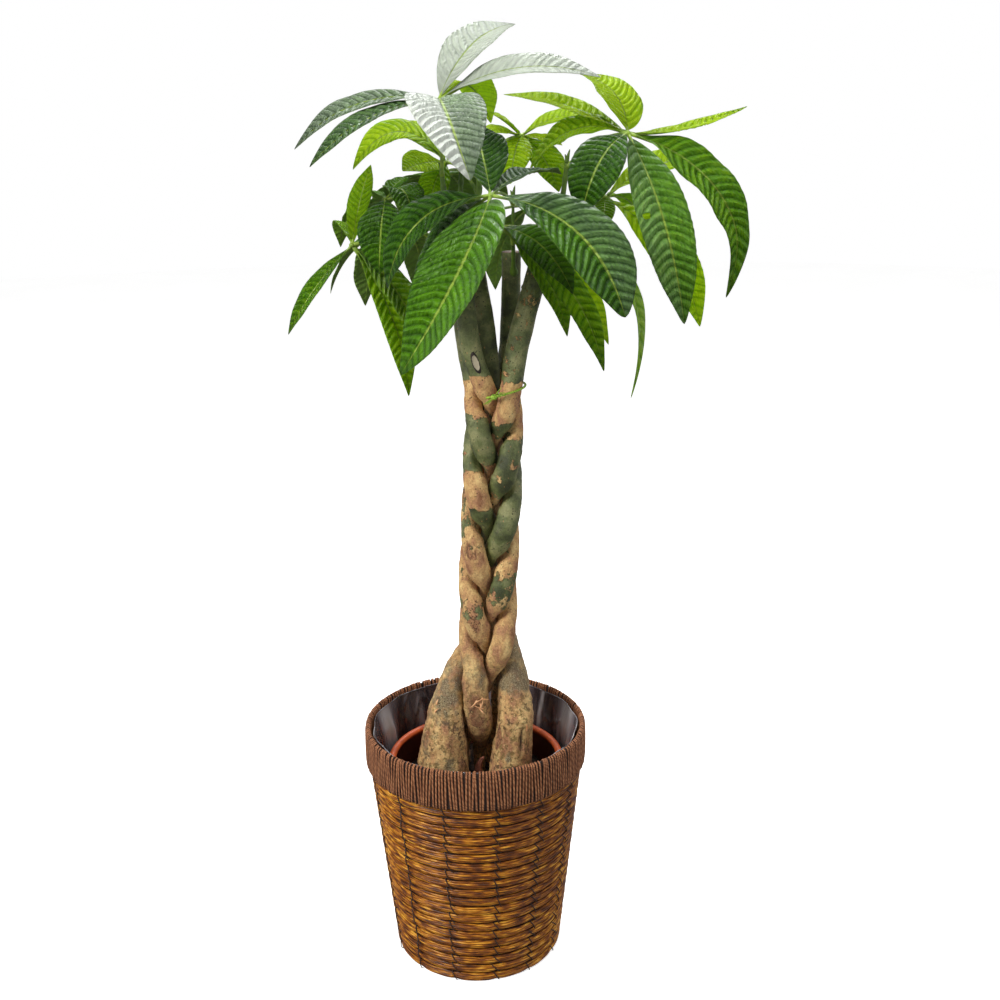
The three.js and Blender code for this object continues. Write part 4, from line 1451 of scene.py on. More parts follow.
@dataclass
class NurseryPot:
    """Thin plastic pot with a rolled rim and drain holes."""

    rim_radius: float = 105.0
    rim_height: float = 250.0
    base_radius: float = 77.0
    base_height: float = 8.6
    wall: float = 1.6
    lip: float = 4.0
    lip_depth: float = 14.0
    roll: float = 4.4
    holes: int = 5
    hole_radius: float = 7.0

    def radius(self, z: Points | float) -> Points | float:
        """Outer radius of the wall at a height."""
        slope = (self.rim_radius - self.lip - self.base_radius) / (self.rim_height - self.base_height)
        return self.base_radius + slope * (z - self.base_height)

    def outline(self) -> list[tuple[float, float]]:
        """Draws half the pot's section.

        Returns:
            Its corners, from under the floor up over the rim and down inside.
        """
        lip_foot = self.rim_height - self.lip_depth
        roll = self.roll
        middle = self.rim_radius - roll
        bead = []
        for i in range(13):
            turn = math.radians(-40 + 210 * i / 12)
            bead.append((middle + roll * math.cos(turn), self.rim_height - roll + roll * math.sin(turn)))
        inner = [(self.radius(z) - self.wall, z) for z in (self.rim_height - 9, 200.0, 120.0, 40.0)]
        foot = self.base_height
        return [
            (0.0, foot + 1.0), (self.base_radius - 9, foot + 1.0), (self.base_radius - 6, foot),
            (self.base_radius - 1.5, foot), (self.base_radius, foot + 2.0),
            (self.radius(lip_foot), lip_foot), (self.rim_radius - 1.4, lip_foot + 0.4),
            (self.rim_radius - 0.7, lip_foot + 2.0),
            *bead, *inner, (self.base_radius - self.wall - 2.5, foot + 3.2), (0.0, foot + 3.2),
        ]

    def build(self) -> None:
        """Makes and dresses the pot."""
        pot = turned("nursery_pot_shell", self.outline(), 128)
        angle = math.tau * np.arange(self.holes) / self.holes
        places = polar(0.6 * self.base_radius, angle, np.full(self.holes, self.base_height))
        drill(pot, [tuple(place) for place in places], self.hole_radius, 10 * self.wall)
        smooth_below(pot, CRISP_EDGE)
        points = read_points(pot) / MM
        inner = np.hypot(points[:, 0], points[:, 1]) < self.radius(points[:, 2]) - self.wall / 2
        below_roll = points[:, 2] < self.rim_height - self.roll
        # Painted shade: the inner wall below the rolled rim is marked to take the dark colour.
        paint(pot, "inner_shade", (inner & below_roll).astype(float))
        hand_over(pot, "terracotta", "nursery_pot", skin=PotFinish().build())


@dataclass
class PottingSoil:
    """Crumbly soil with crumbs, chips and root stubs on it."""

    height: float = 221.0
    edge_drop: float = 6.0
    edge_radius: float = 91.5
    foot_radius: float = 72.0
    foot_height: float = 12.5
    crumbs: int = 240
    crumb_reach: float = 88.0
    stub_radius: float = 6.4
    stubs: tuple[tuple[Triple, Triple], ...] = (
        ((1.0, -14.0, 226.0), (9.0, -22.0, 256.0)),
        ((20.0, 62.0, 222.0), (26.0, 60.0, 231.0)),
        ((-70.0, 12.0, 218.0), (-66.0, 14.0, 226.0)),
    )

    def surface(self, x: Points, y: Points) -> Points:
        """Works out how high the soil lies.

        Args:
            x: places to the right.
            y: places to the back.

        Returns:
            One height for each place.
        """
        angle = np.arctan2(y, x)
        r = np.hypot(x, y)
        mound = 2.2 * np.sin(5 * angle + r / 9) + 1.6 * np.cos(3 * angle - r / 14)
        grain = np.stack([x, y, np.zeros_like(x)], axis=1)
        rough = 1.6 * soft_noise(grain, 9.0, 1) + 1.3 * soft_noise(grain, 4.0, 2)
        fade = ease((self.edge_radius - r) / 16)
        return self.height - self.edge_drop * (1 - fade) + mound * fade + rough

    def bed(self) -> Piece:
        """Makes the whole block of soil.

        Returns:
            The block, closed below.
        """
        def place(u: Points, v: Points) -> Points:
            """Points of the top for most of u, then of the side and the underside."""
            angle = math.tau * v
            top = u < 0.901
            r = np.where(top, self.edge_radius * u / 0.9, 0.0)
            x = r * np.cos(angle)
            y = r * np.sin(angle)
            z = self.surface(x, y)
            low = u > 0.949
            r = np.where(low & ~top, self.foot_radius, r)
            r = np.where(u > 0.999, 0.0, r)
            return polar(r, angle, np.where(low, self.foot_height, z))

        return bent_grid("soil_bed", 20, 96, place, closed=True)

    def fine_bed(self) -> Piece:
        """Makes the crumbly top, in finer faces than the block below it.

        Returns:
            The top.
        """
        def place(u: Points, v: Points) -> Points:
            """Points of the top, in rings of equal area."""
            angle = math.tau * v
            r = (self.edge_radius - 0.5) * np.sqrt(u)
            x = r * np.cos(angle)
            y = r * np.sin(angle)
            return np.stack([x, y, self.surface(x, y) + 0.3], axis=1)

        return bent_grid("soil_top", 60, 180, place, closed=True)

    def scatter(self) -> list[Piece]:
        """Strews crumbs of soil over the bed.

        Returns:
            The crumbs.
        """
        deselect_all()
        bpy.ops.mesh.primitive_ico_sphere_add(subdivisions=1, radius=MM)
        template = bpy.context.object
        bpy.ops.mesh.uv_texture_add()
        draw = np.random.default_rng(21)
        crumbs = []
        for _ in range(self.crumbs):
            r = self.crumb_reach * math.sqrt(draw.uniform(0.02, 1))
            a = draw.uniform(0, math.tau)
            x = r * math.cos(a)
            y = r * math.sin(a)
            z = float(self.surface(np.array([x]), np.array([y]))[0])
            size = draw.uniform(0.9, 2.6)
            shape = Matrix.Diagonal((size * draw.uniform(0.8, 1.7), size, size * draw.uniform(0.5, 0.9), 1))
            heading = Matrix.Rotation(draw.uniform(0, 6.28), 4, "Z")
            turn = heading @ Matrix.Rotation(draw.uniform(-0.5, 0.5), 4, "X")
            crumb = copy_of(template, "crumb")
            crumb.data.transform(Matrix.Translation(Vector((x, y, z + size * 0.2)) * MM) @ turn @ shape)
            crumbs.append(crumb)
        discard(template)
        return crumbs

    def build(self) -> None:
        """Makes and dresses the soil."""
        bed = joined("soil_bed", [self.bed(), self.fine_bed(), *self.scatter()])
        hand_over(bed, "soil", "soil", skin=SoilFinish().build())
        t = np.linspace(0, 1, 6)
        girth = self.stub_radius * np.linspace(1.0, 0.2, len(t))
        stubs = [tube("root_stub", bent_curve(*ends, 0.2, 0.7, 0, t), girth, 5) for ends in self.stubs]
        roots = joined("root_stubs", stubs)
        smooth_below(roots, 30)
        finish = PlainFibreFinish("root_skin", seen(104, 58, 44), seen(176, 112, 90))
        hand_over(roots, "bark", skin=finish.build())


# Trunks


@dataclass(frozen=True)
class Trunk:
    """One trunk: its foot and top stations, and how its bark changes with height."""

    name: str
    foot: Stations
    plait_from: float
    top: Stations
    cork: Stops
    age: Stops


TRUNKS = (
    Trunk(
        "trunk_left",
        ((185, -40, -22, 31), (245, -39, -22, 30), (285, -37, -20, 25.5), (322, -31, -15, 22),
         (362, -17, 2, 18)),
        402,
        ((760, -4, 26, 10.8), (810, -8, 33, 10.4), (860, -11, 40, 10)),
        ((240, 0.95), (400, 0.95), (430, 0.8), (480, 0.35), (500, 0.8), (590, 0.8), (618, 0.4), (640, 0.12),
         (670, 0.15), (680, 0.95), (705, 0.9), (715, 0.05), (860, 0.05)),
        ((230, 0.3), (300, 0.25), (335, 0.5), (375, 0.6), (410, 0.1)),
    ),
    Trunk(
        "trunk_back_left",
        ((185, -30, 40, 23), (245, -28, 38, 22), (290, -14, 30, 18), (325, 1, 19, 15.5)),
        350,
        ((772, 18, 9, 11.2), (815, 11, 15, 10.8), (858, 6, 20, 10.4)),
        ((240, 0.9), (500, 0.9), (518, 0.15), (562, 0.15), (572, 0.9), (600, 0.9), (612, 0.3), (700, 0.3),
         (730, 0.08), (860, 0.08)),
        ((240, 0.5), (350, 0.4), (420, 0.0)),
    ),
    Trunk(
        "trunk_right",
        ((185, 41, -22, 25.5), (245, 42, -22, 25), (285, 46, -19, 21.5), (322, 48, -15, 20),
         (362, 43, -3, 17.5)),
        402,
        ((750, 54, -14, 12.5), (810, 70, -12, 11.5), (872, 88, -4, 10.6)),
        ((240, 0.98), (380, 0.95), (400, 0.8), (460, 0.75), (500, 0.85), (545, 0.6), (640, 0.85),
         (652, 0.35), (664, 0.4), (672, 0.9), (704, 0.9), (714, 0.34), (740, 0.33), (870, 0.26)),
        ((240, -0.2), (334, -0.1), (347, 0.85), (395, 0.8), (420, 0.1)),
    ),
    Trunk(
        "trunk_back_right",
        ((185, 34, 40, 23), (245, 33, 39, 22), (295, 37, 33, 18), (335, 35, 23, 15.5)),
        368,
        ((750, 46, 19, 11), (800, 48, 20, 10.6), (847, 49, 19, 10.4)),
        ((240, 0.9), (420, 0.85), (452, 0.35), (470, 0.8), (560, 0.75), (580, 0.35), (645, 0.3),
         (655, 0.8), (715, 0.5), (730, 0.1), (847, 0.08)),
        ((240, 0.5), (350, 0.4), (420, 0.0), (730, 0.0), (760, 0.2), (847, 0.25)),
    ),
    Trunk(
        "trunk_front",
        ((185, 4, 14, 7), (245, 5, 8, 8), (268, 6, 0, 12.5), (294, 4, -12, 17), (328, 0, -18, 18)),
        370,
        ((744, 4, -17, 11), (800, -3, -14, 10.8), (864, -9, -10, 10.4)),
        ((240, 0.95), (400, 0.95), (440, 0.8), (490, 0.6), (522, 0.2), (600, 0.15), (672, 0.6),
         (678, 0.98), (716, 0.98), (722, 0.05), (864, 0.05)),
        ((240, 0.3), (300, 0.2), (340, 0.1), (352, 0.25), (380, 0.35), (420, 0.05)),
    ),
)


@dataclass(frozen=True)
class BarkPatch:
    """A spot on a trunk: its middle, half its size, how grey and peeling it is, and how far it sinks with
    painted shade.
    """

    trunk: int
    height: float
    degrees: float
    half_height: float
    half_degrees: float
    grey: float = 0.0
    peel: float = 0.0
    hollow_and_shade: float = 0.0

    def share(self, z: Points, degrees: Points) -> Points:
        """How strongly a place on the bark belongs to the patch, from 0 to 1."""
        off = (degrees - self.degrees + 180) % 360 - 180
        return np.exp(-(((z - self.height) / self.half_height) ** 2) - (off / self.half_degrees) ** 2)


PATCHES = (
    BarkPatch(0, 338, -105, 20, 30, grey=0.5),
    BarkPatch(0, 258, -75, 12, 14, grey=0.5),
    BarkPatch(0, 282, -150, 16, 20, grey=0.25),
    BarkPatch(2, 292, -150, 20, 14, peel=0.9),
    BarkPatch(2, 285, -68, 15, 5, hollow_and_shade=1.0),
    BarkPatch(2, 266, -106, 9, 12, grey=1.1),
    BarkPatch(4, 362, -60, 14, 26, grey=0.45),
    BarkPatch(4, 276, -95, 14, 60, peel=0.35),
    BarkPatch(4, 325, -90, 36, 70, peel=0.45),
    BarkPatch(1, 545, -110, 30, 60, peel=0.45),
    BarkPatch(2, 512, -100, 26, 60, peel=0.5),
    BarkPatch(3, 430, -90, 22, 50, peel=0.45),
    BarkPatch(4, 400, -70, 16, 40, peel=0.5),
    # These two sink the front foot a little and darken it all round as painted shade, most below its shelf.
    BarkPatch(4, 262, 0, 20, 400, hollow_and_shade=0.6),
    BarkPatch(4, 314, 0, 55, 400, hollow_and_shade=0.22),
    BarkPatch(3, 381, 185, 18, 50, hollow_and_shade=-1.6),
)


@dataclass(frozen=True)
class Scar:
    """A leaf scar on a trunk: where it lies and how big it is."""

    trunk: int
    height: float
    degrees: float
    half_height: float
    half_width: float


@dataclass
class Plait:
    """Five trunks plaited by one rule: each runs round a figure of eight as it climbs."""

    period: float = 357.0
    mark_height: float = 604.0
    half_width: float = 21.0
    half_depth: float = 20.0
    radius: float = 13.4
    thin_radius: float = 12.0
    end_height: float = 700.0
    foot_height: float = 185.0
    furrow: float = 0.9
    step: float = 12.0
    slices: int = 250
    sides: int = 48
    shred_width: float = 2.0
    scars: tuple[Scar, ...] = (
        Scar(4, 734, -84, 13.0, 5.2),
        Scar(2, 812, 140, 3.4, 5.2),
        Scar(3, 790, 80, 3.6, 5.0),
        Scar(1, 800, 120, 3.2, 4.6),
    )

    def axis_x(self, z: Points) -> Points:
        """How far right the middle of the plait stands at a height."""
        return mix(17.0, 27.0, ease((z - 420) / 260))

    def station(self, k: int, z: Points) -> Points:
        """Follows the figure of eight of a trunk.

        Args:
            k: the trunk.
            z: heights inside the plait.

        Returns:
            A row of x, y and radius for each height.
        """
        turns = (z - self.mark_height) / self.period + k / len(TRUNKS)
        angle = math.pi / 2 + math.tau * turns
        x = self.axis_x(z) + self.half_width * np.cos(angle)
        y = self.half_depth * np.sin(2 * angle)
        radius = mix(self.radius, self.thin_radius, ease((z - self.end_height) / 100 + 1))
        return np.stack([x, y, radius * np.ones_like(z)], axis=1)

    def centre(self, k: int, z: Points) -> Points:
        """Follows a trunk from its foot through the plait to its top.

        Args:
            k: the trunk.
            z: any heights.

        Returns:
            A row of x, y and radius for each height.
        """
        trunk = TRUNKS[k]
        low = np.array([trunk.plait_from, trunk.plait_from + 20.0])
        high = np.array([self.end_height - 20.0, self.end_height])
        foot = np.vstack([np.array(trunk.foot), np.column_stack([low, self.station(k, low)])])
        top = np.vstack([np.column_stack([high, self.station(k, high)]), np.array(trunk.top)])
        rows = self.station(k, z)
        below = z < trunk.plait_from
        above = z > self.end_height
        rows[below] = hermite(foot, z[below])
        rows[above] = hermite(top, z[above])
        return rows

    def reach(self, k: int, z: Points, angle: Points) -> Points:
        """Works out how far a trunk's bark lies from its middle: round, but pressed flat by neighbours.

        Args:
            k: the trunk.
            z: heights.
            angle: the side that each place lies on.

        Returns:
            One distance for each place.
        """
        here = self.centre(k, z)
        slope = here[:, :2] - self.centre(k, z - 1)[:, :2]
        stretch = np.hypot(1.0, np.linalg.norm(slope, axis=1))
        off = angle - np.arctan2(slope[:, 1], slope[:, 0])
        reach = here[:, 2] / np.hypot(np.cos(off) / stretch, np.sin(off))
        u = np.stack([np.cos(angle), np.sin(angle)], axis=1)
        soft = 2.0
        for level in (z - self.step / 2, z, z + self.step / 2):
            mine = self.centre(k, level)
            for m, other in enumerate(TRUNKS):
                top = other.top[-1][0]
                if m == k:
                    continue
                theirs = self.centre(m, np.minimum(level, top))
                apart = theirs[:, :2] - mine[:, :2]
                d = np.linalg.norm(apart, axis=1)
                wall = (d * d + mine[:, 2] ** 2 - theirs[:, 2] ** 2) / (2 * d) - self.furrow / 2
                towards = (u * apart).sum(axis=1) / d
                touching = (towards > 0.05) & (level < top + self.step)
                pressed = np.where(touching, wall / np.maximum(towards, 0.05), 1e6)
                meet = np.maximum(soft - np.abs(reach - pressed), 0) / soft
                reach = np.minimum(reach, pressed) - meet * meet * soft / 4
        return reach

    def skin(self, k: int, z: Points, angle: Points, proud: Points | float = 0.0) -> Points:
        """Points on the bark of trunk k, lifted by so much."""
        return self.around(k, z, angle, self.reach(k, z, angle) + proud)

    def around(self, k: int, z: Points, angle: Points, reach: Points) -> Points:
        """Points so far from the middle of trunk k."""
        points = polar(reach, angle, z)
        points[:, :2] += self.centre(k, z)[:, :2]
        return points

    def trunk(self, k: int) -> Piece:
        """Grows one trunk, knobbly, with a domed cut top.

        Args:
            k: the trunk.

        Returns:
            The trunk, with the paints that its bark is coloured by.
        """
        trunk = TRUNKS[k]
        top = trunk.top[-1][0]
        cap = np.array([(0.35, 0.985), (0.7, 0.94), (0.9, 0.84), (0.95, 0.55), (0.8, 0.25), (0.7, 0.0)])
        heights = np.linspace(self.foot_height, top - 0.9, self.slices)
        heights = np.concatenate([[self.foot_height], heights, top - 0.9 + cap[:, 0]])
        shares = np.concatenate([[0.0], np.ones(self.slices), cap[:, 1]])
        count = len(heights) - 1
        tip = self.slices + 1

        def place(u: Points, v: Points) -> Points:
            """Points of the knobbly bark."""
            i = np.rint(u * count).astype(int)
            z = heights[i]
            angle = math.tau * v
            bare = self.skin(k, z, angle)
            foot = 1 + 0.9 * ease((400 - z) / 60)
            smooth = 1 - 0.6 * ease((z - 700) / 40)
            lumps = 0.8 * soft_noise(bare, 17.0, k) + 0.45 * soft_noise(bare, (7.0, 7.0, 4.5), k + 10)
            wrinkles = 0.22 * soft_noise(bare, (8.0, 8.0, 2.4), k + 20)
            dent = 3.0 * spots(u, v, "hollow_and_shade")
            reach = self.reach(k, z, angle) + (lumps * foot + wrinkles) * smooth - dent
            return self.around(k, z, angle, reach * shares[i])

        def spots(u: Points, v: Points, kind: str) -> Points:
            """How grey, peeling, or sunk and darkened as painted shade the trunk's patches make a place."""
            z = heights[np.rint(u * count).astype(int)]
            total = np.zeros_like(u)
            for patch in PATCHES:
                if patch.trunk == k:
                    total += getattr(patch, kind) * patch.share(z, 360 * v)
            return total

        def cork(u: Points, v: Points) -> Points:
            """How corky the bark is."""
            z = heights[np.rint(u * count).astype(int)]
            where = self.skin(k, z, math.tau * v)
            patch = 0.2 * soft_noise(where, (11.0, 11.0, 8.0), k + 30)
            return through(trunk.cork, z) + patch

        def age(u: Points, v: Points) -> Points:
            """How old and grey the bark is."""
            z = heights[np.rint(u * count).astype(int)]
            where = self.skin(k, z, math.tau * v)
            return through(trunk.age, z) + 0.15 * soft_noise(where, 14.0, k + 40) + spots(u, v, "grey")

        def cut(u: Points, v: Points) -> Points:
            """Whether a place lies on the cut top."""
            return (np.rint(u * count) >= tip).astype(float)

        paints = {"cork": cork, "age": age, "cut": cut}
        paints["peel"] = lambda u, v: spots(u, v, "peel")
        paints["hollow_and_shade"] = lambda u, v: spots(u, v, "hollow_and_shade")
        piece = bent_grid(trunk.name, count, self.sides, place, True, paints)
        stretch_uv(piece, top - self.foot_height)
        shift_uv(piece, 0.0, 3.0 * k)
        return piece

    def scar(self, mark: Scar) -> Piece:
        """Lays a leaf scar on the bark: a raised lip round a shallow dish.

        Args:
            mark: the scar's place and size.

        Returns:
            The scar.
        """
        def place(u: Points, v: Points) -> Points:
            """Points of the dish and its lip."""
            turn = math.tau * v
            z = mark.height + mark.half_height * u * np.sin(turn)
            aside = mark.half_width * u * np.cos(turn) / self.thin_radius
            rise = through(((0.0, 0.5), (0.45, 0.6), (0.62, 1.5), (0.8, 1.4), (1.0, -0.9)), u)
            return self.skin(mark.trunk, z, math.radians(mark.degrees) + aside, rise)

        def lip(u: Points, v: Points) -> Points:
            """How much a place belongs to the lip."""
            return through(((0.0, 0.0), (0.55, 0.1), (0.72, 1.0), (0.9, 0.9), (1.0, 0.4)), u)

        return bent_grid("leaf_scar", 8, 22, place, True, {"lip": lip})

    def shred(self, k: int, z: float, degrees: float, heading: float, length: float, curl: float) -> Piece:
        """One thin sliver of bark that lifts off a trunk.

        Args:
            k: the trunk.
            z: the height where it starts.
            degrees: the side of the trunk where it starts.
            heading: which way it runs over the bark, in degrees from sideways.
            length: how long it is.
            curl: how far its middle stands off the bark.

        Returns:
            The sliver, with its thickness.
        """
        run = length * math.cos(math.radians(heading))
        climb = length * math.sin(math.radians(heading))
        round_trunk = float(self.centre(k, np.array([z]))[0, 2])

        def place(u: Points, v: Points) -> Points:
            """Points of the sliver, which narrows to its tip."""
            across = (v - 0.5) * self.shred_width * (1 - 0.75 * u)
            level = z + climb * u + across * math.cos(math.radians(heading))
            side = (run * u - across * math.sin(math.radians(heading))) / round_trunk
            return self.skin(k, level, math.radians(degrees) + side, 0.5 + curl * np.sin(2.4 * u))

        sliver = bent_grid("shred", 8, 2, place)
        thicken(sliver, 0.5)
        return sliver

    def shreds(self) -> Piece:
        """Strews the slivers of bark that peel off the front foot and its two neighbours.

        Returns:
            All the slivers in one mesh.
        """
        draw = np.random.default_rng(17)
        strips = []
        for heading in (-130, -60, 35, 150, -95, 70, -20):
            z = 333 + draw.uniform(-9, 7)
            degrees = -72 + draw.uniform(-14, 14)
            strips.append(self.shred(4, z, degrees, heading, draw.uniform(8, 13), draw.uniform(1.5, 3.5)))
        for heading, z in ((55, 322), (80, 330)):
            strips.append(self.shred(0, z, -132, heading, 7.0, 2.0))
        strips.append(self.shred(2, 296, -52, 100, 9.0, 1.5))
        return joined("bark_shreds", strips)

    def build(self) -> None:
        """Makes and dresses the trunks."""
        bark = BarkFinish().build()
        scar = ScarFinish().build()
        for k, trunk in enumerate(TRUNKS):
            grown = self.trunk(k)
            dress(grown, bark, scar)
            marks = [self.scar(mark) for mark in self.scars if mark.trunk == k]
            for mark in marks:
                dress(mark, scar)
            piece = joined(trunk.name + "_bark", [grown, *marks])
            hand_over(piece, "bark", trunk.name)
        peeling = PlainFibreFinish("peeling_bark", seen(206, 138, 88), seen(244, 196, 146), 0.8, 220.0)
        hand_over(self.shreds(), "bark", skin=peeling.build())


@dataclass
class TwineTie:
    """Green twine round the top of the plait, knotted in front with frayed ends."""

    plait: Plait
    height: float = 697.0
    rise: float = 8.5
    radius: float = 1.3
    knot_radius: float = 3.2
    wrapped: tuple[int, ...] = (1, 2, 3)

    def loop_path(self, drop: float, count: int = 72) -> Points:
        """Draws one turn of twine tight round the trunks.

        Args:
            drop: how far the turn lies below the first one.
            count: how many points it has.

        Returns:
            Points along the turn.
        """
        angle = math.tau * np.arange(count) / count
        u = np.stack([np.cos(angle), np.sin(angle)], axis=1)
        z = self.height + self.rise * np.cos(angle) - drop
        axis = float(self.plait.axis_x(np.array([self.height]))[0])
        reach = np.full(count, -50.0)
        around = math.tau * np.arange(36) / 36
        for k in self.wrapped:
            for i in range(count):
                ring = self.plait.skin(k, np.full(36, z[i]), around)
                out = (ring[:, 0] - axis) * u[i, 0] + ring[:, 1] * u[i, 1]
                reach[i] = max(reach[i], out.max())
        smooth = (np.roll(reach, 1) + reach + np.roll(reach, -1)) / 3
        reach = np.maximum(reach, smooth) + self.radius
        return np.stack([axis + reach * u[:, 0], reach * u[:, 1], z], axis=1)

    def build(self) -> None:
        """Makes and dresses the tie."""
        upper = self.loop_path(0.0)
        front = upper[int(0.75 * len(upper))]
        middle = front + (0.0, -self.knot_radius * 0.6, 0.0)
        parts = [tube("twine", upper, self.radius, 8, loop=True)]
        draw = np.random.default_rng(29)
        for tilt in (0.0, 1.1, 2.3):
            t = np.linspace(0, math.tau, 17)[:-1]
            back = 1.6 * np.sin(t) * math.cos(tilt)
            up = 2.0 * np.sin(t) * math.sin(tilt + 0.6)
            ring = np.stack([2.3 * np.cos(t), back, up], axis=1)
            parts.append(tube("knot", middle + ring, 1.25, 7, loop=True))
        tails = (((-9, -3, -7), 5), ((7, -4, 6), 9), ((10, -3, 1), 7))
        for (dx, dy, dz), strands in tails:
            end = middle + (dx, dy, dz)
            for _ in range(strands):
                fan = end + draw.normal(0, 1.0, 3) * (1.6, 0.6, 1.8)
                sway = draw.normal(0, 0.8)
                path = bent_curve(tuple(middle), tuple(fan), 0.5, 0.55, sway, np.linspace(0, 1, 8))
                parts.append(tube("strand", path, np.linspace(0.55, 0.3, 8), 5))
        twine = GreenSkinFinish("green_twine", seen(86, 128, 30), seen(168, 200, 62), 0.5, 700.0)
        hand_over(joined("tie_twine", parts), "twine", "tie", skin=twine.build())


# Shoots and leaves


@dataclass(frozen=True)
class Shoot:
    """A green shoot: the node it stands for, its root and its tip."""

    node: str
    root: Triple
    tip: Triple
    girth: float = 4.2

    def line(self, t: Points) -> Points:
        """Points along the shoot."""
        return bent_curve(self.root, self.tip, 0.75, 0.35, 0, t)


SHOOTS = {
    "back": Shoot("shoot_back", (-11, 43, 848), (-4, 64, 935)),
    "middle": Shoot("shoot_middle", (51, 14, 822), (50, -14, 905), 2.6),
    "right": Shoot("shoot_right", (90, -4, 860), (108, 6, 940)),
    "centre": Shoot("shoot_centre", (7, 22, 846), (16, 32, 940)),
    "left": Shoot("shoot_left", (-9, -12, 850), (-24, -20, 935)),
}


@dataclass(frozen=True)
class Leaflet:
    """One leaflet: where it reaches from its hub, and how it is bent, coloured and worn."""

    tip: Triple
    width: float
    arch: float
    bend: float = 0.0
    roll: float = 0.0
    tone: float | None = None
    # How much painted sheen the leaflet has, and below, how much more of it lies on one half.
    painted_sheen: float | None = None
    painted_sheen_lean: float = 0.0
    droop: float = 0.0
    quilt: float = 1.0
    ripple: float = 1.0
    belly: float = 0.54
    fullness: float = 0.8
    crumple: float = 0.0
    holes: tuple[tuple[float, float, float], ...] = ()


@dataclass(frozen=True)
class Leaf:
    """A leaf: its node, the shoot it grows from, its hub and its leaflets."""

    node: str
    shoot: str
    at: float
    hub: Triple
    tone: float
    # How much painted sheen the leaf's skin has.
    painted_sheen: float
    leaflets: tuple[Leaflet, ...]


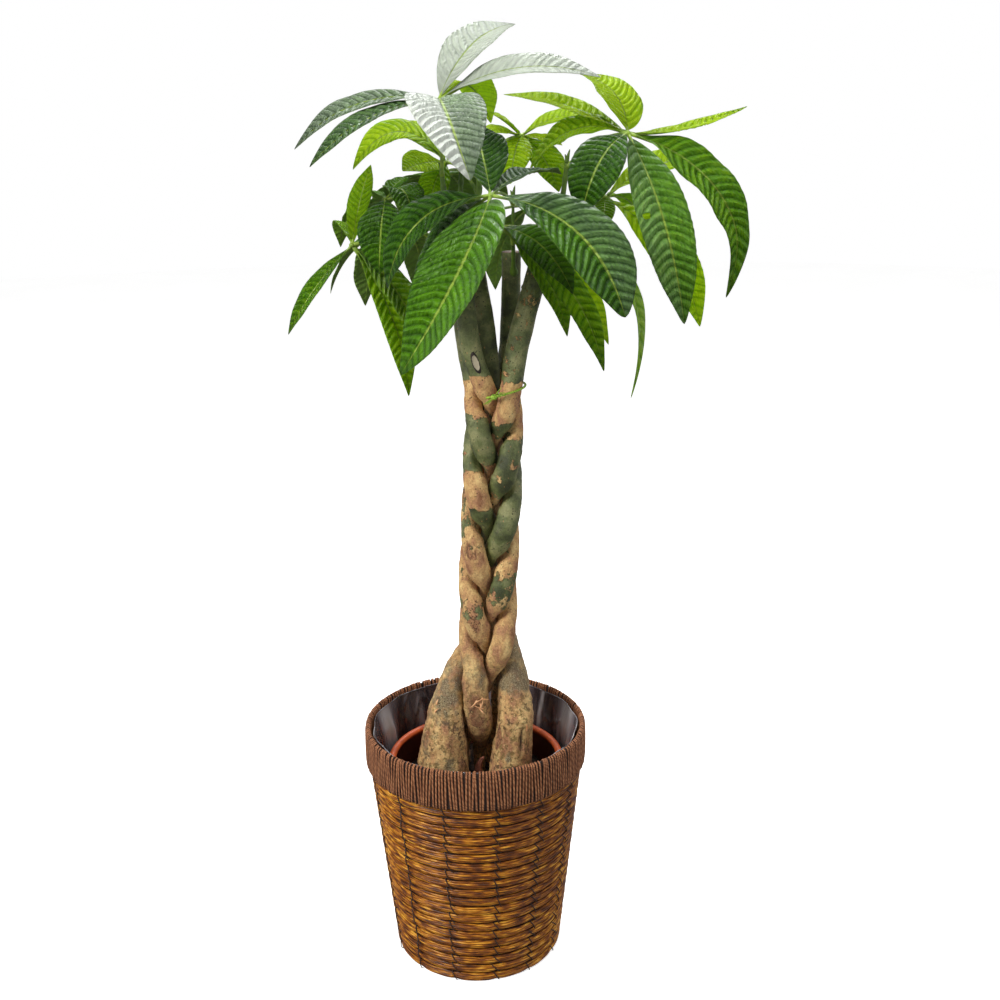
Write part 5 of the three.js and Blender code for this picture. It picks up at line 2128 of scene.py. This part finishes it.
LEAVES = (
    Leaf("leaf_crown", "left", 0.95, (-25, -40, 1005), 0.3, 0.3, (
        Leaflet((80, 70, 75), 60, 0.14, 0.02, 10, 0.5, 0.96, quilt=0.3, ripple=0.3, fullness=0.72),
        Leaflet((160, -30, 20), 42, 0.12, 0, 30, 0.45, 0.95, quilt=0.15, ripple=0.4, belly=0.5),
        Leaflet((30, -150, -70), 76, 0.15, 0.05, 0, 0.12, 0.66, 0.34, ripple=0.3, belly=0.42, fullness=0.7),
        Leaflet((-145, -20, -45), 36, 0.14, 0, -24, 0.16, 0.3, ripple=0.35),
        Leaflet((-125, -70, -60), 35, 0.1, 0, -12, 0.16, 0.1, ripple=0.35),
        Leaflet((55, 130, -25), 48, 0.2, tone=1.0, painted_sheen=0.0),
    )),
    Leaf("leaf_front", "middle", 0.95, (25, -100, 915), 0.26, 0.1, (
        Leaflet((-90, -85, -160), 92, 0.08, -0.14, 0, 0.28, 0.0, ripple=0.3, belly=0.45, fullness=0.68),
        Leaflet((127, -65, -112), 70, 0.17, 0, 35, 0.18, 0.05, -0.05, ripple=0.25, belly=0.62, fullness=0.6),
        Leaflet((75, 80, 15), 42, 0.1, tone=0.1, painted_sheen=0.12),
        Leaflet((-15, 95, 65), 54, 0.05, tone=0.1, painted_sheen=0.0),
        Leaflet((-105, 0, -90), 50, 0.2, 0, -38, 0.14, 0.0, ripple=0.6),
        Leaflet((-80, 40, -125), 50, 0.14, 0, -35, 0.16, 0.0, ripple=0.6),
    )),
    Leaf("leaf_right", "right", 0.95, (170, -10, 970), 0.25, 0.2, (
        Leaflet((50, -92, -185), 54, 0.11, 0.03, 25, 0.38, 0.08, 0.05, quilt=1.2, ripple=0.3, belly=0.5,
                fullness=0.7, holes=((0.48, 0.62, 4.5),)),
        Leaflet((127, -10, -156), 50, 0.18, 0, 50, 0.44, 0.0, droop=0.12, ripple=1.4, belly=0.46,
                fullness=0.7),
        Leaflet((-55, -80, -80), 54, 0.14, 0, -20, 0.14, 0.0, ripple=0.6),
        Leaflet((-45, 60, 60), 50, 0.12, 0.1, -5, 1.0, 0.0, ripple=0.4, belly=0.42),
        Leaflet((130, 30, 25), 28, -0.06, 0, 10, 1.0, 0.0, ripple=0.6, holes=((0.35, 0.2, 2.2),)),
        Leaflet((-125, 110, 40), 34, 0.05, 0, -15, 1.0, 0.0, ripple=0.4),
        Leaflet((-100, 50, -40), 44, 0.2, 0, -35, 0.85, 0.0),
    )),
    Leaf("leaf_low_left", "left", 0.4, (-120, -20, 860), 0.66, 0.0, (
        Leaflet((-70, -20, -90), 30, 0.05, 0, -20, 0.42, ripple=0.3),
        Leaflet((20, 40, 80), 28, 0.05, 0, 0, 0.72, ripple=0.3),
        Leaflet((-20, 80, -10), 26, 0.3),
        Leaflet((70, -15, -100), 42, 0.08, 0, 30, 0.55, ripple=0.5),
        Leaflet((55, -15, -160), 34, 0.08, 0, 40, 0.76, ripple=0.4),
    )),
    Leaf("leaf_mid_left", "left", 0.7, (-85, 10, 905), 0.4, 0.0, (
        Leaflet((-5, -75, -70), 48, 0.12, 0, 0, 0.22, 0.0, ripple=0.4),
        Leaflet((-50, 60, -40), 34, 0.1),
        Leaflet((30, -45, -20), 44, 0.4, 0, 0, 0.28, 0.0, crumple=1.0),
        Leaflet((-5, 95, -15), 40, 0.1),
        Leaflet((25, 40, 20), 26, 0.1),
    )),
    Leaf("leaf_young", "centre", 0.95, (65, 130, 965), 1.0, 0.0, (
        Leaflet((-35, -20, 25), 28, 0.05, 0, -20, ripple=0.5),
        Leaflet((-45, -40, 5), 28, 0.05, 0, -20, ripple=0.5),
        Leaflet((95, 20, 20), 34, 0.1, 0, 20, ripple=0.5),
        Leaflet((45, -30, -10), 20, 0.05, 0, 15),
        Leaflet((-15, -60, -50), 42, 0.1, 0, 0, 0.95, ripple=0.5),
        Leaflet((40, -50, -60), 42, 0.1, 0, 15, 0.8, ripple=0.5),
    )),
    Leaf("leaf_high_left", "centre", 0.7, (-20, 50, 940), 0.92, 0.0, (
        Leaflet((-100, -20, -5), 42, 0.35, 0, -30, ripple=0.5),
        Leaflet((-60, 50, 40), 38, 0.1, 0, -20, ripple=0.5),
        Leaflet((-45, -60, -5), 40, 0.05, 0, -30, ripple=0.5),
        Leaflet((-20, -35, -50), 36, 0.1, 0, -15, 0.7),
        Leaflet((45, 70, 10), 36, 0.1),
    )),
    Leaf("leaf_low_right", "middle", 0.5, (35, -50, 880), 0.34, 0.0, (
        Leaflet((105, -40, -145), 30, 0.12, 0, 62, 0.55, ripple=2.4),
        Leaflet((70, -70, -60), 38, 0.14, 0, 35, 0.3, ripple=0.6),
        Leaflet((70, 0, -115), 34, 0.1, 0, 50, 0.6),
        Leaflet((117, 30, -130), 42, 0.1, 0, 60, 0.95, ripple=0.4),
        Leaflet((163, 67, -179), 30, 0.25, 0, 50, 0.82, 0.2, droop=0.1, quilt=0.3, ripple=0.3,
                belly=0.58, fullness=0.6),
        Leaflet((-55, 0, -105), 40, 0.1, 0, -20, 0.4),
    )),
    Leaf("leaf_back_right", "right", 0.6, (155, 60, 900), 0.8, 0.0, (
        Leaflet((103, -40, -139), 50, 0.12, 0, 50, 0.95, ripple=0.5),
        Leaflet((-5, -40, -30), 24, 0.1, 0, 0, 0.6),
        Leaflet((125, 30, 40), 44, 0.1, 0, 25, 1.0, ripple=0.6),
        Leaflet((-50, 20, 35), 44, 0.1, 0, -20, 0.85),
        Leaflet((60, 90, -50), 44, 0.15),
        Leaflet((-20, 95, -20), 44, 0.2),
    )),
    Leaf("leaf_back_left", "back", 0.95, (-25, 100, 925), 0.35, 0.0, (
        Leaflet((-90, 30, -55), 44, 0.15),
        Leaflet((-50, 90, -60), 48, 0.15),
        Leaflet((30, 105, -60), 50, 0.15),
        Leaflet((75, 55, -30), 46, 0.1),
        Leaflet((-40, -30, -45), 36, 0.1),
    )),
    Leaf("leaf_rear_low", "back", 0.55, (-70, 120, 870), 0.3, 0.0, (
        Leaflet((-90, 0, -80), 44, 0.15),
        Leaflet((-55, 65, -105), 48, 0.15),
        Leaflet((20, 60, -115), 48, 0.15),
        Leaflet((60, 20, -70), 36, 0.1),
    )),
    Leaf("leaf_rear_mid", "centre", 0.45, (75, 140, 885), 0.35, 0.0, (
        Leaflet((-40, 60, -105), 46, 0.15),
        Leaflet((45, 60, -110), 48, 0.15),
        Leaflet((90, 5, -85), 44, 0.15),
    )),
)


@dataclass
class Blade:
    """The shape of one leaflet."""

    leaf: Leaf
    leaflet: Leaflet
    phase: float
    stalk_half: float = 1.3
    stalk_share: float = 0.04
    fold: float = 0.22
    wave: float = 0.028
    wave_turns: float = 19.0
    ruffle: float = 0.007
    ruffle_turns: float = 41.0
    quilting: float = 0.42

    @property
    def length(self) -> float:
        """Straight length from hub to tip."""
        return float(np.linalg.norm(self.leaflet.tip))

    @property
    def vein_spacing(self) -> float:
        """Distance between side veins along the midrib."""
        return self.length / (9.0 + self.length / 17)

    def spine(self, t: Points) -> Points:
        """Draws the midrib's line, arched, drooping and bent.

        Args:
            t: places along the midrib, from 0 to 1.

        Returns:
            One point for each place.
        """
        item = self.leaflet
        reach = np.array(item.tip, dtype=float)
        ahead = reach / self.length
        lift = np.array([0.0, 0.0, 1.0]) - ahead * ahead[2]
        lift = lift / np.linalg.norm(lift)
        across = np.cross(ahead, lift)
        t = t[:, None]
        hump = 4 * t * (1 - t)
        end = np.clip((t - 0.7) / 0.3, 0, 1) ** 2
        bow = item.arch * hump - item.droop * end
        sway = item.bend * hump
        return np.array(self.leaf.hub, dtype=float) + reach * t + self.length * (lift * bow + across * sway)

    def frame(self, t: Points) -> tuple[Points, Points, Points]:
        """Works out how the blade lies along its midrib.

        Args:
            t: places along the midrib, from 0 to 1.

        Returns:
            The midrib's direction, the blade's sideways direction and its normal.
        """
        tiny = 1e-3
        tangent = unit(self.spine(t + tiny) - self.spine(t - tiny))
        ahead = unit(np.array([self.leaflet.tip], dtype=float))
        lift = unit(np.array([[0.0, 0.0, 1.0]]) - ahead * ahead[:, 2:])
        across = np.cross(ahead, lift)
        side = unit(across - tangent * (tangent * across).sum(axis=1, keepdims=True))
        turn = (math.radians(self.leaflet.roll) * np.minimum(1, 4 * t))[:, None]
        side = side * np.cos(turn) + np.cross(tangent, side) * np.sin(turn)
        return tangent, side, unit(np.cross(side, tangent))

    def half_width(self, t: Points) -> tuple[Points, Points]:
        """The blade's width: a short stalk, then a belly, then a drawn-out point.

        Args:
            t: places along the midrib, from 0 to 1.

        Returns:
            The width as a share of the widest, and half the width in millimetres.
        """
        u = np.clip((t - self.stalk_share) / (1 - self.stalk_share), 0, 1)
        bias = math.log(0.5) / math.log(self.leaflet.belly)
        share = np.sin(math.pi * u**bias) ** self.leaflet.fullness * (1 - 0.22 * ease((u - 0.78) / 0.22))
        stalk = self.stalk_half * np.clip(1.6 - 1.6 * u, 0.15, 1)
        return share, stalk + (self.leaflet.width / 2 - self.stalk_half) * share

    def vein_beat(self, t: Points, s: Points) -> Points:
        """Counts the side veins up to a place. They alternate and wander a little.

        Args:
            t: places along the midrib, from 0 to 1.
            s: places across the blade, from -1 to 1.

        Returns:
            One count for each place, whole on a vein.
        """
        _, half = self.half_width(t)
        a = np.abs(s) * half
        apart = 0.4 * ease(4 * s)
        wander = 0.1 * np.sin(1.9 * t * self.length / self.vein_spacing + self.phase + 2.5 * apart)
        lean = 0.5 * a + 0.28 * a * a / (self.leaflet.width / 2)
        return (t * self.length - lean) / self.vein_spacing + apart + wander

    def warp(self, t: Points, s: Points) -> tuple[Points, Points]:
        """Pushes the mesh's lines out of the way of holes in the blade.

        Args:
            t: places along the midrib, from 0 to 1.
            s: places across the blade, from -1 to 1.

        Returns:
            Both, moved.
        """
        for at, side, radius in self.leaflet.holes:
            _, half = self.half_width(np.array([at]))
            a = radius / self.length
            b = radius / half[0]
            d = np.hypot((t - at) / a, (s - side) / b)
            push = np.where(d < 1.0, 1.0 / np.maximum(d, 0.05), 1.0)
            t = at + (t - at) * push
            s = side + (s - side) * push
        return t, s

    def points(self, t: Points, s: Points) -> Points:
        """Shapes the quilted, folded and waved blade.

        Args:
            t: places along the midrib, from 0 to 1.
            s: places across the blade, from -1 to 1.

        Returns:
            One point for each place.
        """
        item = self.leaflet
        t, s = self.warp(t, s)
        share, half = self.half_width(t)
        _, side, normal = self.frame(t)
        edge = np.abs(s)
        beat = self.vein_beat(t, s)
        scallop = 1 + 0.008 * np.cos(math.tau * beat) * share
        rise = self.fold * (half - self.stalk_half) * (1.5 * edge - 0.5 * edge**2)
        swing = np.sin(self.wave_turns * t + self.phase + s)
        flutter = np.sin(self.ruffle_turns * t + 2 * self.phase + 2 * np.sign(s))
        wave = item.ripple * self.wave * item.width * share * edge**1.3 * swing
        ruffle = item.ripple * self.ruffle * item.width * share * edge**2 * flutter
        puff = np.abs(np.sin(math.pi * beat)) ** 0.9 - 0.6
        window = share * np.minimum(1, edge * 5) * (1 - edge**5)
        quilt = self.quilting * item.quilt * self.vein_spacing * puff * window
        flat = np.stack([t * self.length, s * half, np.full_like(t, 9.0 * self.phase)], axis=1)
        dent = (1.2 + 5.0 * item.crumple) * soft_noise(flat, 26.0, 5) * share * np.minimum(1, 2 * edge + 0.3)
        height = rise + wave + ruffle + quilt + dent
        return self.spine(t) + side * (s * half * scallop)[:, None] + normal * height[:, None]

    def mesh(self) -> Piece:
        """Makes the blade, with the paints of its age and its painted sheen.

        Returns:
            The blade, still without its thickness.
        """
        item = self.leaflet
        columns = int(np.clip(self.length / 1.55, 48, 140))
        rows = 2 * int(np.clip(item.width / 8.0, 5, 10))
        start = 0.03

        def place(u: Points, v: Points) -> Points:
            """Points of the blade."""
            return self.points(mix(start, 1.0, u), 2 * v - 1)

        tone = self.leaf.tone if item.tone is None else item.tone
        painted_sheen = self.leaf.painted_sheen if item.painted_sheen is None else item.painted_sheen
        blade = bent_grid("blade", columns, rows, place, False, {
            "tone": lambda u, v: np.full_like(u, tone),
            "painted_sheen": lambda u, v: painted_sheen + item.painted_sheen_lean * (2 * ease(10 * v - 4.5) - 1),
        })
        self.set_veins(blade, start)
        self.cut_holes(blade, start, columns, rows)
        return blade

    def set_veins(self, blade: Piece, start: float) -> None:
        """Writes the count of the side veins into the UV map, beside the place across the blade.

        Args:
            blade: the blade.
            start: where its faces start along the midrib.
        """
        layer = blade.data.uv_layers.active
        flat = np.empty(2 * len(layer.data))
        layer.data.foreach_get("uv", flat)
        uv = flat.reshape(-1, 2)
        t, s = self.warp(mix(start, 1.0, uv[:, 0]), 2 * uv[:, 1] - 1)
        veins = np.stack([self.vein_beat(t, s) + 40, (s + 1) / 2], axis=1)
        layer.data.foreach_set("uv", veins.ravel())

    def cut_holes(self, blade: Piece, start: float, columns: int, rows: int) -> None:
        """Deletes the faces inside the holes that the mesh's lines were pushed off.

        Args:
            blade: the blade.
            start: where its faces start along the midrib.
            columns: how many faces it has along the midrib.
            rows: how many it has across.
        """
        if not self.leaflet.holes:
            return
        with edit_mode(blade):
            bpy.ops.mesh.select_all(action="DESELECT")
            bpy.ops.object.mode_set(mode="OBJECT")
            for face in blade.data.polygons:
                i, j = face.index % columns, face.index // columns
                along = [mix(start, 1.0, (i + a) / columns) for a in (0, 1)]
                across = [2 * (j + b) / rows - 1 for b in (0, 1)]
                corners = [(t, s) for t in along for s in across]
                face.select = any(self.inside(hole, corners) for hole in self.leaflet.holes)
            bpy.ops.object.mode_set(mode="EDIT")
            bpy.ops.mesh.delete(type="FACE")

    def inside(self, hole: tuple[float, float, float], corners: Sequence[tuple[float, float]]) -> bool:
        """Tells whether all corners lie inside a hole.

        Args:
            hole: its place along and across the blade, and its radius.
            corners: places along and across the blade.

        Returns:
            True if they all do.
        """
        at, side, radius = hole
        _, half = self.half_width(np.array([at]))
        return all(
            math.hypot((t - at) * self.length / radius, (s - side) * half[0] / radius) < 1
            for t, s in corners
        )

    def midrib(self) -> Piece:
        """Makes the leaflet's stalk and the rib under its blade.

        Returns:
            Both, as one tube.
        """
        t = np.linspace(0.0, 0.97, 26)
        size = 0.65 + 0.35 * min(1.0, self.length / 150)
        radius = size * through(((0.0, 2.1), (0.04, 1.9), (0.08, 1.35), (0.5, 1.0), (0.97, 0.3)), t)
        _, _, normal = self.frame(t)
        sink = radius * ease((t - 0.01) / 0.08)
        path = self.spine(t) - normal * (0.75 * sink)[:, None]
        return tube("midrib", path, radius, 7)


@dataclass
class Crown:
    """All the leaves, with their long stalks."""

    petiole_radius: float = 1.7
    hub_radius: float = 3.6
    blade_thickness: float = 0.45
    upper: Material = field(init=False)
    under: Material = field(init=False)
    stalk: Material = field(init=False)
    shoot_skin: Material = field(init=False)

    def __post_init__(self) -> None:
        """Makes the materials that all leaves share."""
        self.upper = LeafFinish(BladeSide.UPPER).build()
        self.under = LeafFinish(BladeSide.UNDER).build()
        self.stalk = GreenSkinFinish("leaf_stalk", seen(84, 116, 28), seen(150, 178, 62)).build()
        fresh = GreenSkinFinish("green_shoot", seen(58, 84, 20), seen(104, 136, 36), 0.5, 60.0)
        self.shoot_skin = fresh.build()

    def petiole(self, leaf: Leaf) -> Piece:
        """Makes the long stalk from the shoot to the hub, swollen at both ends.

        Args:
            leaf: the leaf that it carries.

        Returns:
            The stalk.
        """
        start = SHOOTS[leaf.shoot].line(np.array([leaf.at]))[0]
        t = np.linspace(0, 1, 30)
        path = bent_curve(tuple(start), leaf.hub, 0.45, 0.75, 8, t)
        girth = through(((0, 1.7), (0.06, 1.2), (0.15, 1.0), (0.88, 0.85), (0.95, 1.35), (1, 1.7)), t)
        return tube("petiole", path, self.petiole_radius * girth, 9)

    def knuckle(self, leaf: Leaf) -> Piece:
        """Makes the hub where a leaf's leaflets meet.

        Args:
            leaf: the leaf.

        Returns:
            The hub.
        """
        deselect_all()
        bpy.ops.mesh.primitive_uv_sphere_add(segments=16, ring_count=10, radius=self.hub_radius * MM)
        hub = bpy.context.object
        write_points(hub, read_points(hub) / MM * (1, 1, 0.8) + np.array(leaf.hub))
        bpy.ops.object.shade_smooth()
        return hub

    def leaf(self, order: int, leaf: Leaf) -> Piece:
        """Makes and dresses one leaf with its stalk.

        Args:
            order: its place in the list, which sets how its edges wave.
            leaf: the leaf.

        Returns:
            The leaf in one mesh.
        """
        blades = []
        stalks = [self.petiole(leaf), self.knuckle(leaf)]
        for i, leaflet in enumerate(leaf.leaflets):
            blade = Blade(leaf, leaflet, order + 2.0 * i)
            blades.append(blade.mesh())
            stalks.append(blade.midrib())
        skin = joined(leaf.node + "_blades", blades)
        dress(skin, self.under, self.upper)
        thicken(skin, self.blade_thickness, 1)
        for stalk in stalks:
            dress(stalk, self.stalk)
        return joined(leaf.node + "_grown", [skin, *stalks])

    def shoot(self, shoot: Shoot) -> Piece:
        """Makes a green shoot, with rings where old leaves stood and a bud at its end.

        Args:
            shoot: where it grows.

        Returns:
            The shoot.
        """
        t = np.linspace(0, 1, 44)
        path = shoot.line(t)
        radius = np.linspace(shoot.girth, 0.55 * shoot.girth, len(t))
        radius = radius + 2.4 * np.exp(-(((t - 0.06) / 0.07) ** 2))
        for ring in (0.36, 0.62, 0.84):
            radius = radius + 0.7 * np.exp(-(((t - ring) / 0.022) ** 2))
        parts = [tube("stem", path, radius, 14)]
        ahead = unit(np.diff(path[-2:], axis=0))[0]
        for swing, length in ((-0.9, 11.0), (0.7, 14.0), (2.6, 9.0)):
            lean = np.array([math.cos(swing), math.sin(swing), 0.0])
            s = np.linspace(0, 1, 9)
            bud = path[-1] + np.outer(s * length, ahead) + np.outer(3.0 * s**1.6, lean)
            parts.append(tube("bud", bud, 2.4 * (1 - s) ** 0.7 + 0.25, 7))
        return joined(shoot.node + "_green", parts)

    def build(self) -> None:
        """Makes and dresses the shoots and the leaves."""
        for shoot in SHOOTS.values():
            hand_over(self.shoot(shoot), "green_stem", shoot.node, skin=self.shoot_skin)
        for order, leaf in enumerate(LEAVES):
            hand_over(self.leaf(order, leaf), "leaf", leaf.node)


# Studio


@dataclass
class PhotoCamera:
    """The camera at the photograph's place and angle."""

    place: Triple = (0.0, -1411.1, 1008.4)
    pitch: float = 0.3013
    roll: float = -0.0121
    yaw: float = 0.0233
    lens: float = 46.8
    sensor: float = 36.0

    def build(self) -> None:
        """Adds the camera and makes it the scene's own."""
        flat = math.cos(self.pitch)
        ahead = Vector((math.sin(self.yaw) * flat, math.cos(self.yaw) * flat, -math.sin(self.pitch)))
        right = ahead.cross(Vector((0, 0, 1))).normalized()
        up = right.cross(ahead)
        level = right * math.cos(self.roll) + up * math.sin(self.roll)
        upright = up * math.cos(self.roll) - right * math.sin(self.roll)
        data = bpy.data.cameras.new("photo_camera")
        data.lens = self.lens
        data.sensor_width = self.sensor
        data.sensor_fit = "HORIZONTAL"
        data.clip_start = 0.05
        camera = bpy.data.objects.new("photo_camera", data)
        camera.matrix_world = Matrix((level, upright, -ahead)).transposed().to_4x4()
        camera.location = Vector(self.place) * MM
        bpy.context.collection.objects.link(camera)
        bpy.context.scene.camera = camera


@dataclass(frozen=True)
class SoftLight:
    """A square soft light: its place, what it points at, its side and its power."""

    name: str
    place: Triple
    target: Triple
    side: float
    power: float
    tint: Triple = (1.0, 1.0, 1.0)

    def build(self) -> None:
        """Adds the light."""
        data = bpy.data.lights.new(self.name, "AREA")
        data.shape = "SQUARE"
        data.size = self.side
        data.energy = self.power
        data.color = self.tint
        lamp = bpy.data.objects.new(self.name, data)
        lamp.location = self.place
        lamp.rotation_euler = (Vector(self.target) - Vector(self.place)).to_track_quat("-Z", "Y").to_euler()
        bpy.context.collection.objects.link(lamp)


@dataclass
class Studio:
    """White floor, soft lights, and air that is bright only near the horizon."""

    floor_radius: float = 7000.0
    floor_depth: float = 20.0
    floor_gap: float = 0.05
    air: Stops = (
        (-1.0, 0.2), (-0.24, 0.2), (-0.17, 1.0), (0.12, 1.0), (0.2, 0.25), (1.0, 0.25),
    )
    lights: tuple[SoftLight, ...] = (
        SoftLight("key", (-2.0, -1.5, 2.2), (0.0, 0.0, 0.55), 1.0, 78.0, (1.0, 0.985, 0.96)),
        SoftLight("top_light", (0.2, -0.7, 2.9), (0.05, 0.0, 0.8), 0.9, 26.0),
        SoftLight("crown_light", (0.3, 1.3, 2.5), (0.05, 0.0, 0.95), 1.1, 48.0, (0.97, 0.98, 1.0)),
        SoftLight("fill", (1.9, -1.3, 1.2), (0.0, 0.0, 0.5), 1.4, 9.0, (0.98, 0.98, 1.0)),
    )

    def floor(self) -> None:
        """The floor, which shows white but throws no light back up."""
        top = -self.floor_gap
        foot = -self.floor_depth
        outline = [(0.0, top), (self.floor_radius, top), (self.floor_radius, foot), (0.0, foot)]
        stand = turned("studio_floor", outline, 96)
        stand.visible_diffuse = False
        stand.visible_glossy = False
        dress(stand, FloorFinish().build())

    def surroundings(self) -> bpy.types.World:
        """Makes the air, whose brightness follows the height of the direction.

        Returns:
            The world that holds it.
        """
        world = bpy.data.worlds.new("studio_air")
        world.use_nodes = True
        world.node_tree.nodes.clear()
        sketch = NodeSketch(world)
        direction = sketch.add("TexCoord").outputs["Generated"]
        height = sketch.add("SeparateXYZ", {0: direction}).outputs["Z"]
        stops = [((z + 1) / 2, (light, light, light, 1.0)) for z, light in self.air]
        glow = sketch.ramp(sketch.fitted(height, -1.0, 1.0, 0.0, 1.0), stops)
        air = sketch.add("Background", {"Color": glow, "Strength": 1.0})
        sketch.add("OutputWorld", {"Surface": air.outputs[0]})
        return world

    def build(self) -> None:
        """Sets the floor, the lights, the surroundings and how the picture shows colour."""
        self.floor()
        for light in self.lights:
            light.build()
        bpy.context.scene.world = self.surroundings()
        bpy.context.scene.view_settings.view_transform = "Standard"


def main() -> None:
    """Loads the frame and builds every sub-assembly round it."""
    logging.basicConfig(level=logging.INFO, format="%(name)s: %(message)s")
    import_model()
    PhotoCamera().build()
    Studio().build()
    plait = Plait()
    vessel = (Basket(), RimBand(), FilmLiner(), NurseryPot(), PottingSoil())
    for assembly in (*vessel, plait, TwineTie(plait), Crown()):
        assembly.build()
        log.info("%s done", type(assembly).__name__)


if __name__ == "__main__":
    main()
